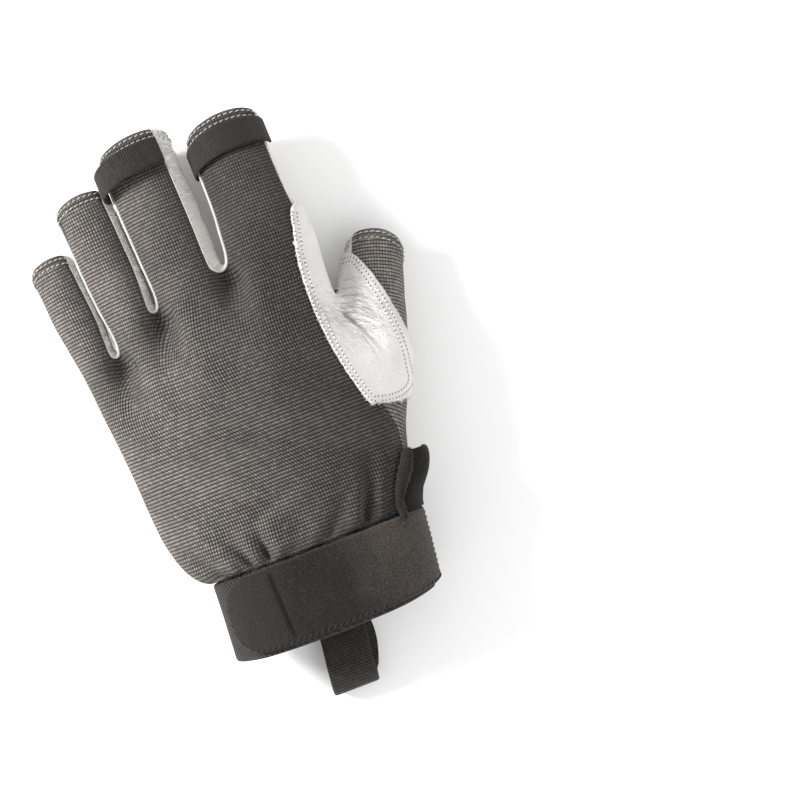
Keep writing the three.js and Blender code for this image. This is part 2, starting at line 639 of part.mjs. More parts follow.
function strapGeometry() {
  return shellGeometry((id) => strapPoint(id, SEAM_GAP + STRAP_WALL), (id) => strapPoint(id, SEAM_GAP),
    gridQuads(STRAP_ROWS, STRAP_COLUMNS));
}

// A pull tab is a band of webbing over the back of a finger. bulge lifts its middle, and
// lean pushes it to the little-finger side.
const TAB_COLUMNS = 12;
const TAB_ROWS = 2;
const TABS = [
  { name: "pull_tab_middle", finger: 2, from: 176, to: 44, bulge: 2.6, lean: 3 },
  { name: "pull_tab_index", finger: 3, from: 184, to: 2, bulge: 0.7, lean: 0 },
];
function tabGeometry({ finger: k, from, to, bulge, lean }) {
  const finger = FINGERS[k];
  const wide = TAB_COLUMNS + 1;
  const at = (id, out) => {
    const u = (id % wide) / TAB_COLUMNS;
    const v = Math.floor(id / wide) / TAB_ROWS;
    const share = 1 - (TAB_INSET + TAB_WIDTH * (1 - v)) / (finger.length * HAND_LENGTH);
    const lift = bulge * Math.sin(Math.PI * u) ** 0.7 + lean * Math.sin(Math.PI * u) * (1 - u);
    return fingerPoint(finger, share, lerp(from, to, u), out + lift);
  };
  return shellGeometry((id) => at(id, SEAM_GAP + TAB_WALL), (id) => at(id, SEAM_GAP),
    gridQuads(TAB_ROWS, TAB_COLUMNS));
}

// The patch is a second layer on the cage. The cage's points next to its outline are moved
// onto it, so that the layer ends there.
const BRIDGING = 30; // rounds by which the patch is drawn tight over the folds beneath it
const PATCH_GAP = SEAM_GAP + 0.28;
const bridged = points.map((point) => point.clone());
function bridge(ids) {
  for (let round = 0; round < BRIDGING; round += 1) {
    ids.forEach((id) => {
      const middle = [...neighbours[id]].reduce((sum, n) => sum.add(bridged[n]), new THREE.Vector3());
      const way = middle.divideScalar(neighbours[id].size).sub(bridged[id]);
      bridged[id].addScaledVector(normals[id], 0.8 * Math.max(0, way.dot(normals[id])));
    });
  }
}
function insideOutline(rows, point) {
  const [x, y] = [point.x / HAND_WIDTH, point.y / HAND_LENGTH];
  return rows.reduce((odd, from, i) => {
    const to = rows[(i + 1) % rows.length];
    const crosses = (from.along > y) !== (to.along > y)
      && x < from.across + ((y - from.along) / (to.along - from.along)) * (to.across - from.across);
    return crosses ? !odd : odd;
  }, false);
}
// Where the outline crosses the way between two points, the first one inside it
function crossing(rows, within, beyond) {
  let [near, far] = [within.clone(), beyond.clone()];
  for (let step = 0; step < 20; step += 1) {
    const middle = near.clone().lerp(far, 0.5);
    [near, far] = insideOutline(rows, middle) ? [middle, far] : [near, middle];
  }
  return near;
}
// Moves the cage point nearest to each corner of an outline onto it, along the surface
function takeCorners(rows, ids) {
  rows.filter((row) => row.corner).forEach((row) => {
    const spot = new THREE.Vector3(row.across * HAND_WIDTH, row.along * HAND_LENGTH, 0);
    const away = (id) => Math.hypot(bridged[id].x - spot.x, bridged[id].y - spot.y);
    const nearest = [...ids].sort((a, b) => away(a) - away(b))[0];
    const [point, normal] = [bridged[nearest], normals[nearest]];
    const [dx, dy] = [spot.x - point.x, spot.y - point.y];
    point.add(new THREE.Vector3(dx, dy, -(normal.x * dx + normal.y * dy) / normal.z));
  });
}
function fitToOutline(rows, ids, corners) {
  const within = new Set([...ids].filter((id) => insideOutline(rows, bridged[id])));
  const spots = new Map();
  within.forEach((id) => neighbours[id].forEach((n) => {
    if (ids.has(n) && !within.has(n)) {
      const spot = crossing(rows, bridged[id], bridged[n]);
      const nearer = spot.distanceTo(bridged[id]) < spot.distanceTo(bridged[n]) ? id : n;
      spots.set(nearer, [...(spots.get(nearer) ?? []), spot]);
    }
  }));
  spots.forEach((list, id) => {
    const sum = list.reduce((total, spot) => total.add(spot), new THREE.Vector3());
    bridged[id].copy(sum.divideScalar(list.length));
    within.add(id);
  });
  takeCorners(rows, corners ? within : new Set());
  return within;
}
function patchGeometry() {
  const half = RADIAL / 2;
  const slices = (rings, from, to) => rings.flatMap((ring) => ring.slice(from, to + 1));
  const turned = (rings, from, to) => rings.flatMap((ring) => Array.from({ length: to - from + 1 },
    (_, i) => ring[(from + i + ring.length) % ring.length]));
  const indexRings = fingerRings[index].map(ringOrder);
  const middle = RADIAL_FROM + half;
  const onBack = new Set([
    ...slices(handRings, RADIAL_FROM - TOP, middle),
    ...slices(indexRings, 0, TOP + half),
    ...turned(thumbRings, -half, THUMB_BACK + half),
  ]);
  const onPalm = new Set([
    ...slices(handRings, middle, RADIAL_FROM + RADIAL + TOP),
    ...slices(indexRings, TOP + half, TOP + RADIAL + TOP),
    ...turned(thumbRings, THUMB_BACK + RADIAL, hole.length - half),
  ]);
  bridge(new Set([...onBack, ...onPalm]));
  const kept = new Set(fitToOutline(PATCH_BACK, onBack, false));
  fitToOutline(PATCH_PALM, new Set([...onPalm].filter((id) => !onBack.has(id))), true)
    .forEach((id) => kept.add(id));
  const covered = faces
    .map(({ corners }) => corners)
    .filter((corners) => [onBack, onPalm].some((ids) => corners.every((id) => ids.has(id))))
    .map((corners) => corners.filter((id) => kept.has(id)))
    .filter((corners) => corners.length > 2);
  const lift = (id, out) => bridged[id].clone().addScaledVector(normals[id], out);
  return shellGeometry((id) => lift(id, PATCH_GAP + PATCH_WALL), (id) => lift(id, PATCH_GAP), covered);
}

// The dark gusset and binding at the wrist slit on the thumb side, above the strap
const SLIT_TOP = 0.2; // share of the hand's length that the slit reaches
const cagePlane = (share, angle, out) => {
  const point = handPoint(share, angle);
  const middle = handPoint(share, 90).add(handPoint(share, -90)).multiplyScalar(0.5);
  const away = point.clone().sub(middle).setY(0).normalize();
  return point.addScaledVector(away, out);
};
function bindingGeometry() {
  const rows = [[0.012, 34], [0.05, 31], [0.1, 28], [0.15, 26], [SLIT_TOP, 25]];
  const clear = BINDING_RADIUS + SEAM_GAP + 0.55;
  const path = new THREE.CatmullRomCurve3(rows.map(([share, angle]) => cagePlane(share, angle, clear)));
  const section = new THREE.Shape().absarc(0, 0, BINDING_RADIUS, 0, 2 * Math.PI, false);
  return new THREE.ExtrudeGeometry(section, { steps: 10, extrudePath: path, curveSegments: 4 });
}
function gussetGeometry() {
  const [rows, columns] = [6, 8];
  const wide = columns + 1;
  const at = (id, out) => {
    const u = (id % wide) / columns;
    const v = Math.floor(id / wide) / rows;
    const share = lerp(0.012, 0.92 * SLIT_TOP, v);
    const dome = Math.sin(Math.PI * u) ** 0.6 * (1 - 0.75 * v ** 3);
    return cagePlane(share, lerp(18 - 4 * v, -22 + 14 * v, u), out + GUSSET_PUFF * dome);
  };
  return shellGeometry((id) => at(id, SEAM_GAP + 0.5 + GUSSET_WALL), (id) => at(id, SEAM_GAP + 0.5),
    gridQuads(rows, columns));
}

// The wrist loop: webbing sewn flat under the cuff, out past its end, round, and back to
// the inside of the cuff. Rows: place along, from the cuff's end outwards, and height.
const CUFF_END = cuffPoint(1, -90).y;
const LOOP_PATH = [
  { along: CUFF_END - CUFF_LENGTH * -0.82, height: 0 },
  { along: CUFF_END - CUFF_LENGTH * -0.4, height: 0 },
  { along: CUFF_END, height: 0 },
  { along: CUFF_END - LOOP_REACH * 0.45, height: 0 },
  { along: CUFF_END - LOOP_REACH * 0.8, height: 0.02 * LOOP_HOLLOW },
  { along: CUFF_END - LOOP_REACH * 0.97, height: 0.3 * LOOP_HOLLOW },
  { along: CUFF_END - LOOP_REACH * 0.98, height: 0.8 * LOOP_HOLLOW },
  { along: CUFF_END - LOOP_REACH * 0.82, height: 1.12 * LOOP_HOLLOW },
  { along: CUFF_END - LOOP_REACH * 0.5, height: 1.0 * LOOP_HOLLOW },
  { along: CUFF_END - LOOP_REACH * 0.16, height: 0.66 * LOOP_HOLLOW },
];
const LOOP_COLUMNS = 2;
const LOOP_SEGMENTS = 34;
function loopGeometry() {
  const inside = CUFF_REST + CUFF_WALL + SEAM_GAP + 0.05;
  const legs = [0.1, 0.45].map((share) => [CUFF_END + share * CUFF_LENGTH, inside]);
  const path = new THREE.CatmullRomCurve3([
    ...LOOP_PATH.map(({ along, height }) => [along, height]),
    ...legs,
  ].map(([y, z]) => new THREE.Vector3(0, y, z + LOOP_WALL / 2)), false, "centripetal");
  const spots = path.getSpacedPoints(LOOP_SEGMENTS);
  const middle = LOOP_PLACE * CUFF_WIDTH;
  const at = (id, out) => {
    const column = id % (LOOP_COLUMNS + 1);
    const row = Math.floor(id / (LOOP_COLUMNS + 1));
    const way = spots[Math.min(row + 1, LOOP_SEGMENTS)].clone().sub(spots[Math.max(row - 1, 0)]).normalize();
    const point = new THREE.Vector3(middle + LOOP_WIDTH * (column / LOOP_COLUMNS - 0.5), 0, 0);
    point.y = spots[row].y + way.z * out;
    point.z = Math.max(spots[row].z - way.y * out, 0);
    return point;
  };
  return shellGeometry((id) => at(id, -LOOP_WALL / 2), (id) => at(id, LOOP_WALL / 2),
    gridQuads(LOOP_SEGMENTS, LOOP_COLUMNS));
}

const MATERIALS = {
  fabric: new THREE.MeshStandardMaterial({ color: 0x5f5955, roughness: 0.9, metalness: 0 }),
  leather: new THREE.MeshStandardMaterial({ color: 0xc9c5c1, roughness: 0.6, metalness: 0 }),
  knit: new THREE.MeshStandardMaterial({ color: 0x35322f, roughness: 0.95, metalness: 0 }),
  felt: new THREE.MeshStandardMaterial({ color: 0x413d39, roughness: 1, metalness: 0 }),
  webbing: new THREE.MeshStandardMaterial({ color: 0x2f2c2a, roughness: 0.8, metalness: 0 }),
};
const glove = new THREE.Group();
function piece(name, geometry, material) {
  const mesh = new THREE.Mesh(geometry, material);
  mesh.name = name;
  glove.add(mesh);
}
piece("back_panel", panelGeometry("back_panel"), MATERIALS.fabric);
piece("thumb_panel", panelGeometry("thumb_panel"), MATERIALS.fabric);
piece("palm_panel", panelGeometry("palm_panel"), MATERIALS.leather);
for (let k = 0; k < index; k += 1) {
  piece(crotchName(k), panelGeometry(crotchName(k)), MATERIALS.leather);
}
piece("crotch_patch", patchGeometry(), MATERIALS.leather);
piece("cuff_band", cuffGeometry(), MATERIALS.knit);
piece("closure_strap", strapGeometry(), MATERIALS.felt);
TABS.forEach((tab) => piece(tab.name, tabGeometry(tab), MATERIALS.webbing));
piece("slit_binding", bindingGeometry(), MATERIALS.knit);
piece("slit_gusset", gussetGeometry(), MATERIALS.knit);
piece("wrist_loop", loopGeometry(), MATERIALS.webbing);

const box = new THREE.Box3().setFromObject(glove);
glove.position.set(-(box.min.x + box.max.x) / 2, -(box.min.y + box.max.y) / 2, -box.min.z);

export default glove;
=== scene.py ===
"""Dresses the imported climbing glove: woven back, leather palm, sewn patch, cuff, strap and webbing.

The leather and cloth are rebuilt on the same named sections as the solids, smoothed, folded and sewn.
"""
import json
import math

import bpy
import numpy as np
from mathutils import Matrix, Vector, noise
from mathutils.bvhtree import BVHTree
from mathutils.kdtree import KDTree

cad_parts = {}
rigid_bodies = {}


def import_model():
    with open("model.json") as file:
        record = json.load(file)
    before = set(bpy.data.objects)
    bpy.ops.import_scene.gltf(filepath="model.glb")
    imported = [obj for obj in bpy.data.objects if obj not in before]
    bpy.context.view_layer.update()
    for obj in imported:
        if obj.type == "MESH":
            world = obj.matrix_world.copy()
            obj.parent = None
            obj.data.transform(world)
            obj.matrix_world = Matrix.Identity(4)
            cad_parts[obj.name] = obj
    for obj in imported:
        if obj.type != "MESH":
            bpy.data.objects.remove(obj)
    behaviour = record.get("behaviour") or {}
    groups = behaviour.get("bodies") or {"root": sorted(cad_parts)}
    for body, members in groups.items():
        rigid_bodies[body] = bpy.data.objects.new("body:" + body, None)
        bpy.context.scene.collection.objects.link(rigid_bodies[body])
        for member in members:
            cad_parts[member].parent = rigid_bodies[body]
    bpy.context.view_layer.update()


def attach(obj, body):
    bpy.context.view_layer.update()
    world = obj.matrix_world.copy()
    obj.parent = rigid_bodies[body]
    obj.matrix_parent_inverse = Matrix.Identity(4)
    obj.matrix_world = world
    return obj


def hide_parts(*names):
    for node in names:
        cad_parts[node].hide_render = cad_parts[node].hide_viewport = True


bl_info = {
    "name": "Climbing glove looks",
    "version": (1, 0, 0),
    "blender": (4, 5, 0),
    "location": "3D View > Sidebar > Glove",
    "description": "Cloth, leather, stitching and webbing of a half-finger climbing glove",
    "category": "Object",
}

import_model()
bpy.ops.object.select_all(action="DESELECT")

MM = 0.001
WIDTH, LENGTH, DEPTH = 92.0, 100.0, 30.0
MIDDLE = Vector((-6.493, -52.379, 0.0))
FABRIC_WALL, LEATHER_WALL, PATCH_WALL = 1.4, 1.3, 1.1
SEAM_GAP = 0.32
CUFF_LENGTH, CUFF_WIDTH, CUFF_DEPTH, CUFF_WALL, CUFF_PITCH = 28.0, 74.0, 38.0, 2.0, 9.0
STRAP_WIDTH, STRAP_WALL, STRAP_TOP = 27.5, 1.8, 0.03
STRAP_FROM, STRAP_TO = 150.0, -16.0
STRAP_SHOWN, STRAP_ROUND = 25.4, 10.5
CREASE_AT, CREASE_LEAN = 0.335, 0.03
TAB_WIDTH, TAB_WALL, TAB_INSET = 9.5, 1.1, 3.4
LOOP_WIDTH, LOOP_WALL, LOOP_REACH, LOOP_HOLLOW, LOOP_PLACE = 17.0, 1.3, 26.5, 7.5, 0.027
LOOP_UNDER, LOOP_INSIDE = (.82, .4, 0), (.1, .45)
LOOP_PATH = [(.45, 0), (.8, .02), (.97, .3), (.98, .8), (.82, 1.12), (.5, 1.0), (.16, .66)]
LOOP_SEAM, LOOP_BOX = 1.8, 15.0
BINDING_RADIUS, GUSSET_WALL, GUSSET_PUFF, SLIT_TOP = 1.5, 1.2, 2.4, 0.2
GATHER_DEPTH, GATHER_FOLDS, GATHER_REACH = 0.8, 11, 0.28
HEM_SLANT, THUMB_HEM_SLANT = 6.0, 24.0
SQUARENESS, CURL = 0.86, 1.5
HEM_ROWS, PATCH_ROWS, HOLE_AT = (1.5, 3.3), (1.1, 2.7), 1.25
EDGE_REACH, PATCH_EDGE_REACH, HEM_REACH = 2.6, 3.2, 4.6
SEAM_STEP, ROLL_STEP, ROLL_LIFT = 0.0006, 0.0009, 0.00012
STITCH_SNAP, FIBRE_SNAP, FIBRE_RADII = 0.006, 0.004, (0.00007, 0.00007, 0.00006, 0.00003)
THUMB_CENTRE = (0.36 * WIDTH, 0.78 * LENGTH)
CAMERA_TARGET, CAMERA_TURN, HALF_VIEW = Vector((0.0427, -0.01608, 0.03)), 21, 0.13795


def table(columns, rows):
    """Rows of a table as dictionaries with those column names."""
    return [dict(zip(columns.split(), row)) for row in rows]


FINGERS = table(
    "name base_width width depth length base_x tip_x crotch_ulnar crotch_radial base_height "
    "tip_height roll back_ulnar back_radial palm_radial palm_ulnar",
    [
        ("little", .15, .18, .533, .38, -.481, -.528, .83, .878, .53, .235, 7, 178, 34, -38, -166),
        ("ring", .184, .22, .6, .47, -.293, -.336, .878, .982, .62, .27, 8, 166, 34, -40, -160),
        ("middle", .2825, .2935, .633, .52, -.043, -.073, .982, 1.029, .72, .325, 10, 166, 42, -40, -160),
        ("index", .337, .2955, .633, .47, .281, .27, 1.029, .985, .86, .37, 9, 166, 8, -40, -160),
    ])
FINGER_STATIONS = [0, .1, .24, .4, .58, .75, .9, 1]
THUMB = dict(width=.222, depth=.653, root_width=.435, root_depth=1.0,
             root=(.413, .4, .78), tip=(.652, .895, .26))
THUMB_STATIONS = [0, .1, .22, .35, .49, .63, .77, .9, 1]
HAND_SECTIONS = table(
    "along ulnar radial lift crown belly roll back_seam palm_seam hollow",
    [
        (.05, -.45, .462, .62, .6, .64, 2, 24, -58, 0),
        (.17, -.484, .53, .62, .62, .64, 4, 23, -44, .03),
        (.3, -.505, .57, .66, .61, .61, 6, 27, -38, .09),
        (.5, -.515, .54, .71, .56, .54, 8, 34, -40, .14),
        (.68, -.525, .48, .74, .5, .47, 8, 32, -40, .1),
        (.84, -.545, .46, .75, .43, .41, 8, 20, -40, .03),
        (1, -.56, .45, .74, .38, .36, 8, 8, -40, 0),
    ])
HAND_STATIONS = [0, .03, .08, .16, .25, .35, .45, .55, .66, .77, .86, .93, 1]
THUMB_FROM, THUMB_TO, KNUCKLE_BLEND = 4, 9, .7
ULNAR_BACK, ULNAR_PALM = 178, -166
CUFF_SECTIONS = table("share middle width lift depth",
                      [(0, .045, 1.03, .49, .98), (.35, .035, 1.02, .485, .99), (1, .01, 1, .47, .97)])
PATCH_BACK = [(.408, 1.118), (.384, 1.04), (.36, .93), (.35, .8), (.358, .66), (.382, .52), (.42, .402),
              (.457, .376), (.546, .364), (.613, .395), (.632, .46), (.642, .54), (.64, .62), (.626, .72),
              (.603, .82), (.578, .885), (.555, .905), (.5, .93), (.47, 1.118)]
PATCH_PALM = [(.48, 1.138), (.32, 1.114), (.17, .66), (.375, .575), (.44, .645), (.5, .68), (.53, .9)]
CREASE_CENTRE, CREASE_SPOT = (34.0, 72.0, 20.0), (13.5, -2.0)
CREASES = table("foot head width depth bow", [
    ((42.2, 71), (50.8, 51.8), .8, 1.0, -.8), ((45.8, 82.3), (53.8, 79.6), .5, .45, -.7),
    ((44.6, 79.6), (55.7, 73.8), .5, .5, -1.3), ((43.6, 77.3), (57.3, 68.4), .5, .6, -1.7),
    ((42.6, 75), (55.6, 67.6), .5, .55, -1.5), ((42.1, 73.2), (54.5, 66), .5, .65, -1.4),
    ((42, 71.6), (53.4, 64.6), .5, .6, -1.2), ((42.3, 69.6), (53.2, 61), .5, .5, -1),
    ((43.2, 67.6), (52.6, 56.4), .5, .45, -.8), ((45.5, 61), (48, 50), .45, .3, -.5),
    ((33.5, 100), (39.5, 97.5), .45, .35, -.4), ((34, 92), (40, 90.5), .45, .3, -.4),
    ((34.5, 83), (41, 84.5), .45, .35, .3), ((36, 70), (42, 72), .5, .3, .4)])
RAG, RAG_LOW = 0.28, 1.0
TOP, SIDE, WEB, RADIAL, WEB_SAG = 6, 3, 2, 4, .8
PUCKERS = table("foot head width depth", [
    ((-30, 1), (-41, 15), 1.9, 1.0), ((-24, 1), (-32, 17), 1.7, -1.1), ((-19, 1.5), (-25, 12), 1.5, 2.4),
    ((-15.5, 1), (-19, 16), 1.5, -1.4), ((-12.5, 2), (-14, 13), 1.4, 2.8), ((-8, 1), (-6, 18), 2.0, -1.4),
    ((-3, 1), (3, 16), 1.6, 0.9), ((4, 1), (14, 17), 2.2, -0.9), ((10, 1), (24, 17), 2.0, 1.2),
    ((18, 1), (30, 20), 2.4, -1.1), ((24, 2), (34, 26), 2.2, 1.9), ((29, 2), (37, 22), 1.6, -0.9),
    ((-10, 12), (22, 24), 3.2, -0.8), ((-12, 17), (26, 30), 3.4, 0.7)])
TABS = table("name finger start stop bulge lean drop plain",
             [("pull_tab_middle", 2, 176, 44, 2.6, 3, 2.4, 0), ("pull_tab_index", 3, 184, 2, .7, 0, 0.9, 1)])
BINDING = table("share angle rise", [(-.026, 43, 2.0), (-.01, 42, 1.7), (.012, 41, .5), (.05, 38, 0),
                                     (.1, 35, 0), (.15, 32, 0), (SLIT_TOP, 30, 0)])
VALLEYS = table("lean length rise", [(.10, 34, 26), (.05, 42, 32), (-.02, 38, 30)])
LAMPS = table("name place size energy", [("key", (-0.88, 0.62, 0.62), 0.36, 27.0),
                                         ("fill", (0.7, -0.5, 1.0), 1.0, 6.5)])


def lerp(a, b, t):
    """The value that share of the way from a to b."""
    return a + (b - a) * t


def clamp(value, low=0.0, high=1.0):
    """The value, kept between low and high."""
    return min(max(value, low), high)


def ease(value, low, high):
    """A smooth step from 0 at low to 1 at high."""
    x = clamp((value - low) / (high - low))
    return x * x * (3 - 2 * x)


def power(value, exponent):
    """A power that keeps the value's sign."""
    return math.copysign(abs(value) ** exponent, value)


def cos_of(angle):
    """Cosine of an angle in degrees."""
    return math.cos(math.radians(angle))


def sin_of(angle):
    """Sine of an angle in degrees."""
    return math.sin(math.radians(angle))


def spread(low, high, count):
    """Even steps from low to high, both ends counted."""
    return [lerp(low, high, i / count) for i in range(count + 1)]


def column(rows, name, key, at):
    """A table's value between its rows, on a smooth curve."""
    last = len(rows) - 1
    found = next((i for i, row in enumerate(rows) if row[key] > at), -1)
    upper = last if found < 0 else max(found, 1)
    before, low, high, after = [rows[int(clamp(upper + i, 0, last))] for i in (-2, -1, 0, 1)]
    span = high[key] - low[key]
    t = clamp((at - low[key]) / span)

    def slope(a, b):
        return 0 if b[key] == a[key] else (b[name] - a[name]) / (b[key] - a[key]) * span

    m0, m1 = slope(before, high), slope(low, after)
    return ((2 * t ** 3 - 3 * t ** 2 + 1) * low[name] + (t ** 3 - 2 * t ** 2 + t) * m0
            + (-2 * t ** 3 + 3 * t ** 2) * high[name] + (t ** 3 - t ** 2) * m1)


def cuff_point(share, angle, out=0.0):
    """A point of the cuff, from its seam at share 0 to its open end at 1. Millimetres."""
    def at(name):
        return column(CUFF_SECTIONS, name, "share", share)

    a = at("width") * CUFF_WIDTH / 2 + out
    b = at("depth") * CUFF_DEPTH / 2 + out
    rise = b * power(sin_of(angle), SQUARENESS)
    return Vector((at("middle") * CUFF_WIDTH + a * power(cos_of(angle), SQUARENESS),
                   -share * (CUFF_LENGTH + rise * math.tan(math.radians(CUFF_PITCH))),
                   at("lift") * CUFF_DEPTH + rise))


def hand_point(share, angle):
    """A point of the hand's own section, from the cuff to the knuckles."""
    def at(name):
        return column(HAND_SECTIONS, name, "along", share)

    ulnar, radial = at("ulnar") * WIDTH, at("radial") * WIDTH
    half = (radial - ulnar) / 2
    across = half * power(cos_of(angle), SQUARENESS)
    sine = power(sin_of(angle), SQUARENESS)
    dish = at("hollow") * max(0, 1 - (across / half) ** 2 * 1.6)
    gather = (GATHER_DEPTH * ease(GATHER_REACH - share, 0, GATHER_REACH)
              * cos_of(angle * GATHER_FOLDS) * max(0, sine) ** .5)
    rise = gather + DEPTH * (at("crown") * sine if sine > 0 else at("belly") * sine + dish)
    roll = at("roll")
    point = Vector(((ulnar + radial) / 2 + across * cos_of(roll) - rise * sin_of(roll),
                    share * LENGTH,
                    at("lift") * DEPTH + rise * cos_of(roll) + across * sin_of(roll)))
    made = cuff_point(0, angle).lerp(point, ease(share, 0, HAND_SECTIONS[0]["along"]))
    made.y = point.y
    return made


def tube_point(centre, heading, dive, roll, a, b, slant, angle):
    """A point round a tube whose axis has that heading and dive."""
    axis = Vector((sin_of(heading) * cos_of(dive), cos_of(heading) * cos_of(dive), -sin_of(dive)))
    across = Vector((cos_of(heading), -sin_of(heading), 0))
    up = Vector((sin_of(heading) * sin_of(dive), cos_of(heading) * sin_of(dive), cos_of(dive)))
    c, s = cos_of(angle), sin_of(angle)
    x = a * c * cos_of(roll) - b * s * sin_of(roll)
    z = a * c * sin_of(roll) + b * s * cos_of(roll)
    return centre + across * x + up * z + axis * (z * math.tan(math.radians(slant)))


def finger_point(finger, share, angle, out=0.0):
    """A point of a finger, from its crotches at share 0 to its open end at 1."""
    drop = (finger["base_height"] - finger["tip_height"]) * DEPTH
    base = (finger["crotch_ulnar"] + finger["crotch_radial"]) / 2 * LENGTH
    lean = (finger["tip_x"] - finger["base_x"]) * WIDTH
    length = finger["length"] * LENGTH
    centre = Vector((finger["base_x"] * WIDTH + lean * share, base + length * share,
                     finger["base_height"] * DEPTH - drop * share ** CURL))
    slope = drop * CURL * share ** (CURL - 1) / length
    swell = ease(share, 0, .45)
    point = tube_point(
        centre, math.degrees(math.atan2(lean, length)) * share, math.degrees(math.atan(slope)) * share,
        finger["roll"], lerp(finger["base_width"], finger["width"], swell) * WIDTH / 2 + out,
        (finger["depth"] / 2 + (1 - swell) * .06) * DEPTH + out, HEM_SLANT * share, angle)
    step = (finger["crotch_radial"] - finger["crotch_ulnar"]) * LENGTH / 2
    point.y += step * cos_of(angle) * (1 - ease(share, 0, .5))
    return point


HAND = Vector((WIDTH, LENGTH, DEPTH))
THUMB_ROOT = Vector(a * b for a, b in zip(THUMB["root"], HAND))
THUMB_TIP = Vector(a * b for a, b in zip(THUMB["tip"], HAND))
THUMB_WAY = THUMB_TIP - THUMB_ROOT
THUMB_HEADING = math.degrees(math.atan2(THUMB_WAY.x, THUMB_WAY.y))
THUMB_DIVE = math.degrees(math.atan2(-THUMB_WAY.z, math.hypot(THUMB_WAY.x, THUMB_WAY.y)))


def thumb_point(share, angle, out=0.0):
    """A point of the thumb, from its root to its open end."""
    taper = share * (1.65 - .65 * share)
    return tube_point(
        THUMB_ROOT + THUMB_WAY * share, THUMB_HEADING, THUMB_DIVE, 0,
        lerp(THUMB["root_width"], THUMB["width"], taper) * WIDTH / 2 + out,
        lerp(THUMB["root_depth"], THUMB["depth"], taper) * DEPTH / 2 + out,
        THUMB_HEM_SLANT * share ** 3, angle)


